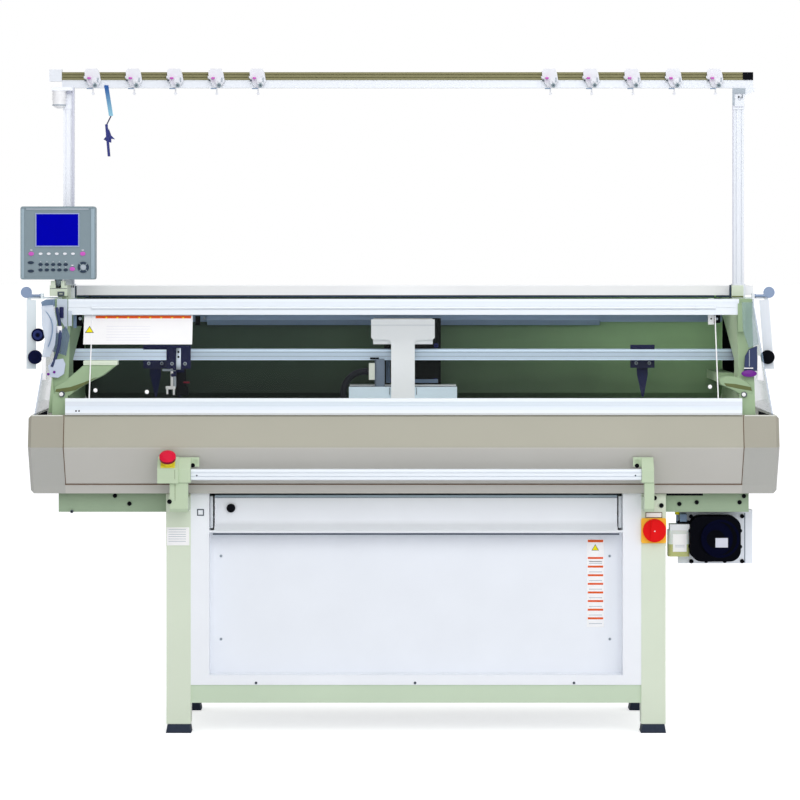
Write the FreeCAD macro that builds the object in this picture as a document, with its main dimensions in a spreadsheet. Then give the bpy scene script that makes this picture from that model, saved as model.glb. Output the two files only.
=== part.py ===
import FreeCAD, Part
import math
import operator
import os
import Sketcher

# A computerised flat knitting machine: two needle beds in a V, a carriage that straddles them
# on two rails, yarn carriers on four rails above, a stand with a cabinet, covers with a clear
# hood in front, and a yarn stand on top. Lengths are in millimetres. X runs along the beds,
# -Y is the front where the knitter stands, Z is up from the floor. Until each piece is placed,
# X = 0 is the middle of the beds and Y = 0 is the throat between them.

document = FreeCAD.newDocument("FlatKnittingMachine")
sheet = document.addObject("Spreadsheet::Sheet", "Sizes")
nodes = {}


# ---------------------------------------------------------------- sizes and formulas

class Size:
    """A length, angle or count: its number, and the formula on the sheet that gives it."""

    def __init__(self, number, formula):
        self.number = float(number)
        self.formula = formula

    def __add__(self, other):
        return joined(self, "+", other)

    def __radd__(self, other):
        return joined(other, "+", self)

    def __sub__(self, other):
        return joined(self, "-", other)

    def __rsub__(self, other):
        return joined(other, "-", self)

    def __mul__(self, other):
        return joined(self, "*", other)

    def __rmul__(self, other):
        return joined(other, "*", self)

    def __truediv__(self, other):
        return joined(self, "/", other)

    def __neg__(self):
        return joined(0, "-", self)


ARITHMETIC = {"+": operator.add, "-": operator.sub, "*": operator.mul, "/": operator.truediv}


def as_size(value):
    """A plain number becomes a size whose formula is that number."""
    if isinstance(value, Size):
        return value
    return Size(value, "(%r)" % float(value))


def joined(first, sign, second):
    """Two sizes joined by an arithmetic sign."""
    first = as_size(first)
    second = as_size(second)
    number = ARITHMETIC[sign](first.number, second.number)
    return Size(number, "(%s %s %s)" % (first.formula, sign, second.formula))


def sine(angle):
    """Sine of an angle in degrees."""
    return Size(math.sin(math.radians(angle.number)), "sin(%s * 1 deg)" % angle.formula)


def cosine(angle):
    """Cosine of an angle in degrees."""
    return Size(math.cos(math.radians(angle.number)), "cos(%s * 1 deg)" % angle.formula)


def whole(value):
    """The whole number below a size."""
    return Size(math.floor(value.number), "floor(%s)" % value.formula)


def size(name, number):
    """A driving size: one row of the sheet, with its name and its number."""
    row = str(len(sheet.getUsedCells()) // 2 + 1)
    sheet.set("A" + row, name)
    sheet.set("B" + row, str(number))
    sheet.setAlias("B" + row, name)
    return Size(number, "Sizes." + name)


# Stand
stand_length = size("stand_length", 1498)
stand_depth = size("stand_depth", 620)
stand_shift = size("stand_shift", 37)
stand_height = size("stand_height", 662)
leg_width = size("leg_width", 73)
leg_depth = size("leg_depth", 72)
leg_seam_drop = size("leg_seam_drop", 101)
leg_seam_step = size("leg_seam_step", 1)
pad_height = size("pad_height", 27)
pad_side = size("pad_side", 76)
pad_taper = size("pad_taper", 5)
stand_rail_bottom = size("stand_rail_bottom", 90)
stand_rail_height = size("stand_rail_height", 54)
stand_rail_depth = size("stand_rail_depth", 50)
stand_rail_setback = size("stand_rail_setback", 6)
brace_height = size("brace_height", 60)
brace_width = size("brace_width", 40)

# Cabinet and take-down
cabinet_setback = size("cabinet_setback", 2)
cabinet_sheet = size("cabinet_sheet", 3)
cabinet_flange = size("cabinet_flange", 55)
cabinet_lip_height = size("cabinet_lip_height", 29)
cabinet_recess = size("cabinet_recess", 60)
take_down_room = size("take_down_room", 64)
cabinet_panel_rim = size("cabinet_panel_rim", 14)
cheek_thickness = size("cheek_thickness", 8)
cheek_depth = size("cheek_depth", 330)
sill_depth = size("sill_depth", 98)
flap_side_gap = size("flap_side_gap", 15)
flap_height = size("flap_height", 104)
flap_depth = size("flap_depth", 36)
flap_ledge_height = size("flap_ledge_height", 24)
flap_sheet = size("flap_sheet", 3)
flap_pin_radius = size("flap_pin_radius", 4)
flap_curve_radius = size("flap_curve_radius", 16)
latch_radius = size("latch_radius", 13)
latch_depth = size("latch_depth", 9)
roller_radius = size("roller_radius", 25)
presser_radius = size("presser_radius", 15)
roller_shaft_radius = size("roller_shaft_radius", 9)
roller_rise = size("roller_rise", 34)
roller_nip = size("roller_nip", 1.5)
shaft_clearance = size("shaft_clearance", 0.05)

# Bed base
base_inset = size("base_inset", 13)
base_depth = size("base_depth", 580)
base_height = size("base_height", 98)
base_raise = size("base_raise", 58)
bed_rise = size("bed_rise", 225)
throat_gap = size("throat_gap", 12)
slot_gap = size("slot_gap", 24)
slot_margin = size("slot_margin", 4)

# Needle beds
bed_length = size("bed_length", 1176)
bed_slope = size("bed_slope", 50)
bed_width = size("bed_width", 250)
bed_thickness = size("bed_thickness", 32)
bed_margin = size("bed_margin", 21)
needle_pitch = size("needle_pitch", 12.4)
trick_width = size("trick_width", 5)
trick_depth = size("trick_depth", 7)
needle_height = size("needle_height", 4)
butt_clearance = size("butt_clearance", 0.5)
needle_width = size("needle_width", 2.4)
hook_reach = size("hook_reach", 7)

# Casting at each end, and what spans between the castings
casting_inner = size("casting_inner", 1004)
casting_thickness = size("casting_thickness", 46)
recess_depth = size("recess_depth", 32)
recess_front = size("recess_front", 172)
recess_wall = size("recess_wall", 28)
recess_sill = size("recess_sill", 90)
recess_low_edge = size("recess_low_edge", 133)
recess_high_edge = size("recess_high_edge", 262)
ledge_reach = size("ledge_reach", 48)
ledge_gap = size("ledge_gap", 8)
ledge_thickness = size("ledge_thickness", 27)
casting_front = size("casting_front", 366)
casting_back = size("casting_back", 385)
hood_rise = size("hood_rise", 317)
hood_top_front = size("hood_top_front", 265)
cover_rise = size("cover_rise", 198)
table_seat = size("table_seat", 9)
table_height = size("table_height", 29)
table_front = size("table_front", 38)
table_back = size("table_back", 330)
table_overhang = size("table_overhang", 25)
table_sheet = size("table_sheet", 3)
back_wall = size("back_wall", 262)
back_wall_rise = size("back_wall_rise", 240)
back_reach = size("back_reach", 410)
back_belly_rise = size("back_belly_rise", 140)
back_belly_height = size("back_belly_height", 120)
cover_sheet = size("cover_sheet", 4)

# Long front cover and the covers at its ends
front_cover_overlap = size("front_cover_overlap", 8)
front_top_reach = size("front_top_reach", 400)
front_crease_reach = size("front_crease_reach", 425)
crease_rise = size("crease_rise", 102)
front_bend_reach = size("front_bend_reach", 345)
bend_rise = size("bend_rise", 26)
front_bottom_reach = size("front_bottom_reach", 330)
front_ledge = size("front_ledge", 30)
end_cover_width = size("end_cover_width", 105)
end_cover_edge = size("end_cover_edge", 10)
side_cover_lean = size("side_cover_lean", 50)
side_cover_flange = size("side_cover_flange", 10)
side_cover_front = size("side_cover_front", 392)
side_cover_top_front = size("side_cover_top_front", 275)
side_cover_sheet = size("side_cover_sheet", 4)

# Hood
hood_rail_overlap = size("hood_rail_overlap", 3)
hood_rail_height = size("hood_rail_height", 26)
hood_rail_depth = size("hood_rail_depth", 36)
hood_rail_front = size("hood_rail_front", 301)
hood_rail_groove = size("hood_rail_groove", 2)
hinge_radius = size("hinge_radius", 5)
hinge_pin_radius = size("hinge_pin_radius", 2.5)
hinge_gap = size("hinge_gap", 0.5)
hinge_ear_length = size("hinge_ear_length", 60)
pane_inset = size("pane_inset", 66)
pane_thickness = size("pane_thickness", 4)
pane_slot_depth = size("pane_slot_depth", 8)
lower_rail_height = size("lower_rail_height", 49)
lower_rail_depth = size("lower_rail_depth", 26)
lower_rail_front = size("lower_rail_front", 405)
cover_gap = size("cover_gap", 0.3)

# Yarn rails, lamp
yarn_rail_rise = size("yarn_rail_rise", 159)
yarn_rail_height = size("yarn_rail_height", 32)
yarn_rail_thickness = size("yarn_rail_thickness", 8)
yarn_rail_spacing = size("yarn_rail_spacing", 40)
yarn_rail_groove = size("yarn_rail_groove", 1.5)
lamp_overhang = size("lamp_overhang", 60)
lamp_depth = size("lamp_depth", 30)
lamp_drop = size("lamp_drop", 88)
lamp_height = size("lamp_height", 32)
lamp_rail_height = size("lamp_rail_height", 22)
lamp_rail_depth = size("lamp_rail_depth", 10)

# Carriage and its rails
guide_reach = size("guide_reach", 225)
guide_width = size("guide_width", 20)
guide_height = size("guide_height", 30)
guide_inset = size("guide_inset", 44)
sliding_gap = size("sliding_gap", 0.3)
carriage_length = size("carriage_length", 330)
carriage_rise = size("carriage_rise", 47)
carriage_inner = size("carriage_inner", 68)
carriage_outer = size("carriage_outer", 122)
carriage_foot = size("carriage_foot", 262)
carriage_waist = size("carriage_waist", 120)
carriage_skirt = size("carriage_skirt", 78)
bridge_plate = size("bridge_plate", 12)
bridge_width = size("bridge_width", 194)
bridge_stem_width = size("bridge_stem_width", 72)
bridge_height = size("bridge_height", 76)
bridge_lip = size("bridge_lip", 14)
bridge_gap = size("bridge_gap", 5)
bridge_stem_gap = size("bridge_stem_gap", 7)
bridge_corner = size("bridge_corner", 14)
bridge_back_width = size("bridge_back_width", 176)
bridge_back_shift = size("bridge_back_shift", 28)
carriage_place = size("carriage_place", -2)
socket_width = size("socket_width", 48)
socket_height = size("socket_height", 84)
socket_reach = size("socket_reach", 104)
socket_cap = size("socket_cap", 18)
gland_wall = size("gland_wall", 3)
gland_height = size("gland_height", 20)
cable_inset = size("cable_inset", 24)
cable_drop = size("cable_drop", 84)
cable_radius = size("cable_radius", 10)
cable_stand_off = size("cable_stand_off", 7)

# Yarn carriers
carrier_width = size("carrier_width", 74)
carrier_thickness = size("carrier_thickness", 24)
carrier_cap = size("carrier_cap", 13)
carrier_drop = size("carrier_drop", 58)
feeder_width = size("feeder_width", 34)
feeder_tip_width = size("feeder_tip_width", 5)
feeder_thickness = size("feeder_thickness", 3)
feeder_tip_rise = size("feeder_tip_rise", 12)
feeder_tip_spacing = size("feeder_tip_spacing", 5)
park_gap = size("park_gap", 102)
park_gap_right = size("park_gap_right", 48)

# Belt drive
belt_gap = size("belt_gap", 28)
belt_width = size("belt_width", 25)
belt_rise = size("belt_rise", 80)
belt_thickness = size("belt_thickness", 3.7)
pulley_radius = size("pulley_radius", 38)
pulley_flange = size("pulley_flange", 3)
pulley_inset = size("pulley_inset", 64)
pedestal_width = size("pedestal_width", 24)
pedestal_depth = size("pedestal_depth", 25)
pulley_shaft_radius = size("pulley_shaft_radius", 8)
pulley_bore_gap = size("pulley_bore_gap", 0.05)

# Yarn stand
post_inset = size("post_inset", 22)
post_width = size("post_width", 32)
post_depth = size("post_depth", 39)
post_front = size("post_front", 85)
post_groove = size("post_groove", 3)
foot_height = size("foot_height", 44)
foot_width = size("foot_width", 40)
foot_depth = size("foot_depth", 52)
stand_rise = size("stand_rise", 630)
stand_rail_tall = size("stand_rail_tall", 24)
stand_bar_height = size("stand_bar_height", 24)
stand_bar_depth = size("stand_bar_depth", 26)
stand_bar_overhang = size("stand_bar_overhang", 20)
bar_cap_length = size("bar_cap_length", 38)
post_head_height = size("post_head_height", 66)
post_head_arm = size("post_head_arm", 34)
signal_radius = size("signal_radius", 22)
signal_offset = size("signal_offset", 26)
signal_height = size("signal_height", 54)
tension_count = size("tension_count", 5)
tension_first = size("tension_first", 447)
tension_spacing = size("tension_spacing", 126.2)
tension_width = size("tension_width", 48)

# Side tension units
side_plate_stand_off = size("side_plate_stand_off", 93)
side_unit_shift = size("side_unit_shift", 36)
side_plate_lean = size("side_plate_lean", 16)
side_plate_width = size("side_plate_width", 29)
side_plate_thickness = size("side_plate_thickness", 4)
side_plate_drop = size("side_plate_drop", 4)
low_knob_rise = size("low_knob_rise", 36)
high_knob_rise = size("high_knob_rise", 103)
side_plate_height = size("side_plate_height", 209)
side_plate_front = size("side_plate_front", 200)
side_pivot_radius = size("side_pivot_radius", 4)
side_rod_rise = size("side_rod_rise", 2)
side_rod_inset = size("side_rod_inset", 52)
side_rod_length = size("side_rod_length", 38)
side_paddle_rise = size("side_paddle_rise", 17)
side_paddle_radius = size("side_paddle_radius", 17)
side_paddle_thickness = size("side_paddle_thickness", 5)

# Control panel
panel_inset = size("panel_inset", 5)
panel_width = size("panel_width", 227)
panel_height = size("panel_height", 221)
panel_depth = size("panel_depth", 46)
panel_rise = size("panel_rise", 50)
panel_back = size("panel_back", 180)
panel_corner = size("panel_corner", 7)
panel_bezel = size("panel_bezel", 1.5)
panel_arm_width = size("panel_arm_width", 54)
panel_arm_rise = size("panel_arm_rise", 8)
panel_arm_height = size("panel_arm_height", 46)
panel_arm_front = size("panel_arm_front", 212)
swivel_radius = size("swivel_radius", 12)

# Start bar and emergency stop
bar_front = size("bar_front", 440)
bar_depth = size("bar_depth", 26)
bar_rise = size("bar_rise", 39)
bar_height = size("bar_height", 33)
bar_pin_radius = size("bar_pin_radius", 7)
bar_pin_length = size("bar_pin_length", 20)
bar_end_gap = size("bar_end_gap", 0.5)
bar_inset = size("bar_inset", 81)
bracket_width = size("bracket_width", 54)
bracket_right_width = size("bracket_right_width", 29)
bracket_inset = size("bracket_inset", 8)
bracket_head_width = size("bracket_head_width", 36)
bracket_foot_rise = size("bracket_foot_rise", 10)
bracket_foot_height = size("bracket_foot_height", 40)
bracket_front = size("bracket_front", 445)
bracket_web = size("bracket_web", 35)
bracket_rise = size("bracket_rise", 73)
bracket_slope = size("bracket_slope", 35)
head_front = size("head_front", 452)
head_back = size("head_back", 410)
head_height = size("head_height", 74)
ear_width = size("ear_width", 24)
ear_height = size("ear_height", 28)
stop_box_width = size("stop_box_width", 62)
stop_box_front = size("stop_box_front", 460)
stop_box_back = size("stop_box_back", 412)
stop_box_rise = size("stop_box_rise", 2)
stop_box_height = size("stop_box_height", 77)
stop_face_drop = size("stop_face_drop", 33)
stop_ring_radius = size("stop_ring_radius", 21)
stop_neck_radius = size("stop_neck_radius", 11)
stop_head_radius = size("stop_head_radius", 24.3)
stop_plate_thickness = size("stop_plate_thickness", 2)
stop_collar_radius = size("stop_collar_radius", 16)
stop_ring_height = size("stop_ring_height", 13)
stop_head_height = size("stop_head_height", 9)
stop_travel = size("stop_travel", 6)

# Main switch
switch_plate_height = size("switch_plate_height", 75)
switch_drop = size("switch_drop", 92)
switch_plate_depth = size("switch_plate_depth", 8)
switch_knob_radius = size("switch_knob_radius", 34.5)
switch_knob_height = size("switch_knob_height", 14)
switch_grip_height = size("switch_grip_height", 8)
switch_stem_radius = size("switch_stem_radius", 8)

# Blower and lubricator
blower_gap = size("blower_gap", 45)
blower_plate_width = size("blower_plate_width", 226)
blower_plate_height = size("blower_plate_height", 162)
blower_flange = size("blower_flange", 40)
blower_plate_thickness = size("blower_plate_thickness", 5)
blower_plate_front = size("blower_plate_front", 200)
blower_side = size("blower_side", 151)
blower_height = size("blower_height", 136)
blower_depth = size("blower_depth", 86)
blower_corner = size("blower_corner", 34)
oil_width = size("oil_width", 64)
oil_depth = size("oil_depth", 58)
oil_height = size("oil_height", 79)
oil_drop = size("oil_drop", 137)
oil_neck_radius = size("oil_neck_radius", 7)

# Threading tool that hangs from the yarn stand
tool_inset = size("tool_inset", 109)
tool_strip_width = size("tool_strip_width", 13)
tool_strip_length = size("tool_strip_length", 94)
tool_rod_radius = size("tool_rod_radius", 4)
tool_rod_length = size("tool_rod_length", 98)

document.recompute()

# ---------------------------------------------------------------- places worked out from the sizes

stand_left = stand_shift - stand_length / 2
stand_right = stand_shift + stand_length / 2
cabinet_left = stand_left + leg_width
cabinet_right = stand_right - leg_width
cabinet_front = cabinet_setback - stand_depth / 2
cabinet_panel_top = stand_height - take_down_room
roller_height = cabinet_panel_top + roller_rise
cabinet_bottom = stand_rail_bottom + stand_rail_height
window_left = cabinet_left + cabinet_flange
window_right = cabinet_right - cabinet_flange
panel_plane = cabinet_front + cabinet_recess
base_bottom = stand_height
base_top = base_bottom + base_height
cabinet_top = base_bottom + base_raise
leg_seam_height = stand_height - leg_seam_drop
throat_height = base_top + bed_rise
cover_top = base_top + cover_rise
front_crease_height = base_top + crease_rise
front_bottom_height = cabinet_top
front_bend_height = front_bottom_height + bend_rise
back_wall_bottom = base_top + back_wall_rise
back_belly_top = base_top + back_belly_rise
back_belly_bottom = back_belly_top - back_belly_height
hood_top = throat_height + hood_rise
table_bottom = hood_top + table_seat
table_top = table_bottom + table_height
stand_rail_top = table_top + stand_rise
lamp_bottom = hood_top - lamp_drop
belt_height = base_top + belt_rise
yarn_rail_top = throat_height + yarn_rail_rise
carrier_top = yarn_rail_top + carrier_cap
carrier_bottom = yarn_rail_top - carrier_drop
feeder_tip_height = throat_height + feeder_tip_rise
carriage_top = throat_height + carriage_rise
bridge_arch = carrier_top + bridge_gap
bridge_arm_bottom = bridge_arch + bridge_lip
bridge_top = bridge_arch + bridge_height
bridge_stem_bottom = throat_height + bridge_stem_gap
side_plate_top = hood_top - side_plate_drop
side_plate_bottom = side_plate_top - side_plate_height
side_rod_height = hood_top + side_rod_rise
panel_arm_bottom = hood_top + panel_arm_rise
panel_bottom = panel_arm_bottom + panel_rise
bar_top = base_top + bar_rise
bracket_top = base_top + bracket_rise
head_bottom = bracket_top - head_height
ear_bottom = bracket_top - ear_height
stop_box_top = bracket_top + stop_box_rise
bracket_bottom = stand_height + bracket_foot_rise
switch_plate_bottom = stand_height - switch_drop
oil_bottom = stand_height - oil_drop
casting_outer = casting_inner + casting_thickness
base_half = casting_outer - base_inset
belt_reach = base_depth / 2 + belt_gap
cover_half = casting_inner + front_cover_overlap
end_cover_reach = cover_half + end_cover_width
hood_rail_length = (casting_inner + hood_rail_overlap) * 2
pane_length = (casting_inner - pane_inset) * 2
guide_length = (casting_inner - guide_inset) * 2
table_length = (casting_outer + table_overhang) * 2
pulley_place = casting_inner - pulley_inset
post_place = casting_inner + post_inset
stand_bar_half = post_place + stand_bar_overhang
side_cover_bottom_reach = casting_outer + side_cover_lean
side_plate_reach = casting_outer + side_plate_stand_off
panel_place = casting_outer - panel_inset
slot_length = bed_length + slot_margin
lamp_length = bed_length + lamp_overhang
needle_count = whole((bed_length - bed_margin * 2 - trick_width) / needle_pitch) + 1
tool_place = post_place - tool_inset
bar_half = stand_length / 2 - bar_inset
blower_plate_left = stand_right + blower_gap
socket_left = carriage_place - socket_reach
cable_row = cable_inset - carriage_outer
cable_end = carriage_top - cable_drop
stop_slope = 0.7071068

# The part's middle on the floor, half way between its farthest pieces: the paddles of the side
# tension units at left and right, the stop button in front and the covers behind.
head_start = stop_ring_height + stop_travel
head_end = head_start + stop_head_height
stop_reach = stop_box_front - stop_face_drop / 2 + (head_end + stop_head_radius) * stop_slope
middle_x = side_unit_shift / 2
middle_y = (stop_reach - back_reach) / 2
MIDDLE = (middle_x, middle_y, as_size(0))


# ---------------------------------------------------------------- ways to make pieces

def bind(thing, formulas):
    """Tie properties of a feature to sizes."""
    for path, value in formulas.items():
        thing.setExpression(path, as_size(value).formula)


def block(x, y, z):
    """A straight block between two places on each axis."""
    piece = document.addObject("Part::Box", "block")
    sides = ("Length", "Width", "Height")
    for pair, side, letter, middle in zip((x, y, z), sides, "xyz", MIDDLE):
        low, high = sorted((as_size(pair[0]), as_size(pair[1])), key=lambda place: place.number)
        bind(piece, {side: high - low, "Placement.Base." + letter: low + middle})
    return piece


TURNS = {
    "x": FreeCAD.Rotation(FreeCAD.Vector(0, 1, 0), 90),
    "y": FreeCAD.Rotation(FreeCAD.Vector(1, 0, 0), -90),
    "z": FreeCAD.Rotation(),
}


def on_axis(axis, centre, along):
    """A place given by its centre across an axis and its place along that axis."""
    across = list(centre)
    return {
        "x": lambda: (along, across[0], across[1]),
        "y": lambda: (across[0], along, across[1]),
        "z": lambda: (across[0], across[1], along),
    }[axis]()


def rod(axis, centre, radius, ends):
    """A round rod along an axis, between two places on it."""
    piece = document.addObject("Part::Cylinder", "rod")
    piece.Placement = FreeCAD.Placement(FreeCAD.Vector(), TURNS[axis])
    low, high = sorted((as_size(ends[0]), as_size(ends[1])), key=lambda place: place.number)
    place = on_axis(axis, centre, low)
    bind(piece, {"Radius": radius, "Height": high - low})
    for letter, value, middle in zip("xyz", place, MIDDLE):
        bind(piece, {"Placement.Base." + letter: value + middle})
    return piece


def united(pieces, label="union"):
    """Pieces that touch, made one."""
    result = document.addObject("Part::MultiFuse", label)
    result.Shapes = list(pieces)
    result.Refine = True
    return result


def cut(base, tools, label="cut"):
    """A piece with other forms cut out of it."""
    result = document.addObject("Part::Cut", label)
    result.Base = base
    result.Tool = tools[0] if len(tools) == 1 else united(tools, "tools")
    return result


def group(pieces, label):
    """Separate like pieces that share one file."""
    result = document.addObject("Part::Compound", label)
    result.Links = list(pieces)
    return result


def node(label, piece):
    """Keep a finished piece under its name."""
    piece.Label = label
    nodes[label] = piece
    return piece


PLANES = {"x": "YZ_Plane", "y": "XZ_Plane", "z": "XY_Plane"}


def new_body(label):
    """A body whose sketches are drawn from the machine's own middle."""
    body = document.addObject("PartDesign::Body", label)
    bind(body, {"Placement.Base.x": middle_x, "Placement.Base.y": middle_y})
    return body


def new_sketch(body, plane, offset):
    """A sketch on one of the body's origin planes, moved by an offset in the plane's own axes."""
    drawing = body.newObject("Sketcher::SketchObject", "drawing")
    wanted = [feature for feature in body.Origin.OriginFeatures if feature.Role == plane]
    drawing.AttachmentSupport = [(wanted[0], "")]
    drawing.MapMode = "FlatFace"
    for letter, value in zip("xyz", offset):
        bind(drawing, {"AttachmentOffset.Base." + letter: value})
    return drawing


def draw(drawing, outline):
    """A closed outline of straight lines, each corner held by its two coordinates."""
    corners = [(as_size(across), as_size(up)) for across, up in outline]
    first = drawing.GeometryCount
    count = len(corners)
    for place in range(count):
        start = corners[place]
        end = corners[(place + 1) % count]
        start_point = FreeCAD.Vector(start[0].number, start[1].number, 0)
        end_point = FreeCAD.Vector(end[0].number, end[1].number, 0)
        drawing.addGeometry(Part.LineSegment(start_point, end_point), False)
    for place in range(count):
        following = (place + 1) % count
        drawing.addConstraint(Sketcher.Constraint("Coincident", first + place, 2, first + following, 1))
    for place, corner in enumerate(corners):
        for kind, value in zip(("DistanceX", "DistanceY"), corner):
            rule = Sketcher.Constraint(kind, -1, 1, first + place, 1, value.number)
            number = drawing.addConstraint(rule)
            bind(drawing, {"Constraints[%d]" % number: value})


def pad(body, axis, outline, ends):
    """A prism: an outline across an axis, pushed along it between two places."""
    low, high = sorted((as_size(ends[0]), as_size(ends[1])), key=lambda place: place.number)
    plane_place = -high if axis == "y" else low
    drawing = new_sketch(body, PLANES[axis], (0, 0, plane_place))
    draw(drawing, outline)
    feature = body.newObject("PartDesign::Pad", "pad")
    feature.Profile = drawing
    bind(feature, {"Length": high - low})
    drawing.Visibility = False
    return feature


def pocket(body, axis, outline, ends):
    """A prism cut away: an outline across an axis, between two places on it."""
    low, high = sorted((as_size(ends[0]), as_size(ends[1])), key=lambda place: place.number)
    plane_place = -low if axis == "y" else high
    drawing = new_sketch(body, PLANES[axis], (0, 0, plane_place))
    draw(drawing, outline)
    feature = body.newObject("PartDesign::Pocket", "pocket")
    feature.Profile = drawing
    bind(feature, {"Length": high - low})
    return feature


def rectangle(across, up):
    """The four corners between two places on each axis of a plane."""
    return [(across[0], up[0]), (across[1], up[0]), (across[1], up[1]), (across[0], up[1])]


def turned(body, axis, centre, half_outline):
    """A turned form: corners at (distance from the axis, place along it), once round the axis."""
    first, second = centre
    plane, offset, reference = {
        "x": ("XY_Plane", (0, first, second), "H_Axis"),
        "y": ("XY_Plane", (first, 0, second), "V_Axis"),
        "z": ("XZ_Plane", (first, 0, -second), "V_Axis"),
    }[axis]
    drawing = new_sketch(body, plane, offset)
    outline = [(along, radius) if axis == "x" else (radius, along) for radius, along in half_outline]
    draw(drawing, outline)
    feature = body.newObject("PartDesign::Revolution", "turned")
    feature.Profile = drawing
    feature.ReferenceAxis = (drawing, [reference])
    feature.Angle = 360
    return feature


def edges_at(feature, axis, places):
    """The names of the straight edges along an axis that pass through the given places."""
    document.recompute()
    keep = {"x": (1, 2), "y": (0, 2), "z": (0, 1)}[axis]
    wanted = [(as_size(first).number, as_size(second).number) for first, second in places]
    names = []
    for number, edge in enumerate(feature.Shape.Edges, 1):
        start = edge.Vertexes[0].Point
        end = edge.Vertexes[-1].Point
        if max(abs(start[side] - end[side]) for side in keep) > 0.01 or edge.Length < 0.01:
            continue
        for place in wanted:
            if max(abs(start[side] - value) for side, value in zip(keep, place)) < 0.01:
                names.append("Edge%d" % number)
    return names


def rounded(body, feature, axis, places, radius):
    """The corners of a prism that run along an axis through the given places, rounded."""
    names = edges_at(feature, axis, places)
    fillet = body.newObject("PartDesign::Fillet", "rounding")
    fillet.Base = (feature, names)
    bind(fillet, {"Radius": radius})
    return fillet


def prism(label, axis, outline, ends, corners=(), radius=0):
    """A body that is one prism, with some of its corners rounded."""
    body = new_body(label)
    feature = pad(body, axis, outline, ends)
    if corners:
        rounded(body, feature, axis, corners, radius)
    return body


def mirrored(outline, side):
    """An outline turned to the other side of the machine's middle plane."""
    return [(side * along, up) for along, up in outline]


# ---------------------------------------------------------------- stand

def side_frame(label, left, right, side):
    """One welded side of the stand: two legs, a low rail and a brace under the machine bed."""
    front = -stand_depth / 2
    back = stand_depth / 2
    legs = []
    for near, far in ((front, front + leg_depth), (back - leg_depth, back)):
        legs.append(block((left, right), (near, far), (pad_height, leg_seam_height)))
        wide = (left - leg_seam_step, right) if side < 0 else (left, right + leg_seam_step)
        deep = (near - leg_seam_step, far + leg_seam_step)
        legs.append(block(wide, deep, (leg_seam_height, stand_height)))
    middle = (left + right) / 2
    brace = (middle - brace_width / 2, middle + brace_width / 2)
    span = (front + leg_depth, back - leg_depth)
    low_rail = block(brace, span, (stand_rail_bottom, stand_rail_bottom + stand_rail_height))
    high_rail = block(brace, span, (stand_height - brace_height, stand_height))
    node(label, united(legs + [low_rail, high_rail], label))


def foot_pad(across, along):
    """A rubber pad under a leg, wider at the floor."""
    body = new_body("pad_body")
    half = pad_side / 2
    outline = [
        (across - half, 0), (across + half, 0),
        (across + half - pad_taper, pad_height), (across - half + pad_taper, pad_height),
    ]
    pad(body, "y", outline, (along - half, along + half))
    return body


def stand():
    """Two side frames, the rails between them and the four pads."""
    side_frame("side_frame_left", stand_left, stand_left + leg_width, -1)
    side_frame("side_frame_right", stand_right - leg_width, stand_right, 1)
    rails = []
    rail_heights = (stand_rail_bottom, stand_rail_bottom + stand_rail_height)
    rail_front = stand_rail_setback - stand_depth / 2
    for side in (1, -1):
        span = (side * rail_front, side * (rail_front + stand_rail_depth))
        rails.append(block((cabinet_left, cabinet_right), span, rail_heights))
    node("cross_rails", group(rails, "cross_rails"))
    pads = []
    leg_row = (stand_depth - leg_depth) / 2
    for across in (stand_left + leg_width / 2, stand_right - leg_width / 2):
        for along in (-leg_row, leg_row):
            pads.append(foot_pad(across, along))
    node("foot_pads", group(pads, "foot_pads"))


# ---------------------------------------------------------------- cabinet and take-down

def cabinet():
    """A folded cabinet between the legs, open at the front, with cheeks for the rollers."""
    back = -cabinet_front
    inside = (cabinet_left + cabinet_sheet, cabinet_right - cabinet_sheet)
    outer = block((cabinet_left, cabinet_right), (cabinet_front, back), (cabinet_bottom, cabinet_top))
    hollow = block(inside, (cabinet_front + cabinet_sheet, back - cabinet_sheet),
                   (cabinet_bottom + cabinet_sheet, cabinet_top + 1))
    window = block((window_left, window_right), (cabinet_front - 1, cabinet_front + cabinet_sheet + 1),
                   (cabinet_bottom + cabinet_lip_height, cabinet_top + 1))
    shell = cut(outer, [hollow, window])
    returns = []
    for edge, outward in ((window_left, -1), (window_right, 1)):
        across = (edge, edge + outward * cabinet_sheet)
        returns.append(block(across, (cabinet_front, panel_plane), (cabinet_bottom, cabinet_top)))
        cheek = (edge, edge + outward * cheek_thickness)
        foot = (edge, edge + outward * cabinet_flange)
        along = (panel_plane, panel_plane + cheek_depth)
        returns.append(block(cheek, along, (cabinet_panel_top - cabinet_sheet, stand_height)))
        returns.append(block(foot, along, (cabinet_panel_top - cabinet_sheet, cabinet_panel_top)))
    lip_top = cabinet_bottom + cabinet_lip_height
    returns.append(block((window_left, window_right), (cabinet_front, panel_plane),
                         (lip_top - cabinet_sheet, lip_top)))
    sill_heights = (cabinet_panel_top - cabinet_sheet, cabinet_panel_top)
    returns.append(block(inside, (panel_plane, panel_plane + sill_depth), sill_heights))
    bores = []
    for radius, place in roller_places():
        bores.append(rod("x", (place, roller_height), roller_shaft_radius + shaft_clearance,
                         (window_left - cheek_thickness - 1, window_right + cheek_thickness + 1)))
    pin = rod("x", flap_hinge(), flap_pin_radius + shaft_clearance,
              (window_left - cabinet_sheet - 1, window_right + cabinet_sheet + 1))
    body = cut(united([shell] + returns, "cabinet_solid"), bores + [pin], "cabinet_shell")
    node("cabinet_shell", body)


def roller_places():
    """Radius and place of the take-down roller and of the presser in front of it."""
    nip = panel_plane + 150
    return ((roller_radius, nip + roller_radius), (presser_radius, nip - roller_nip - presser_radius))


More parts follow.
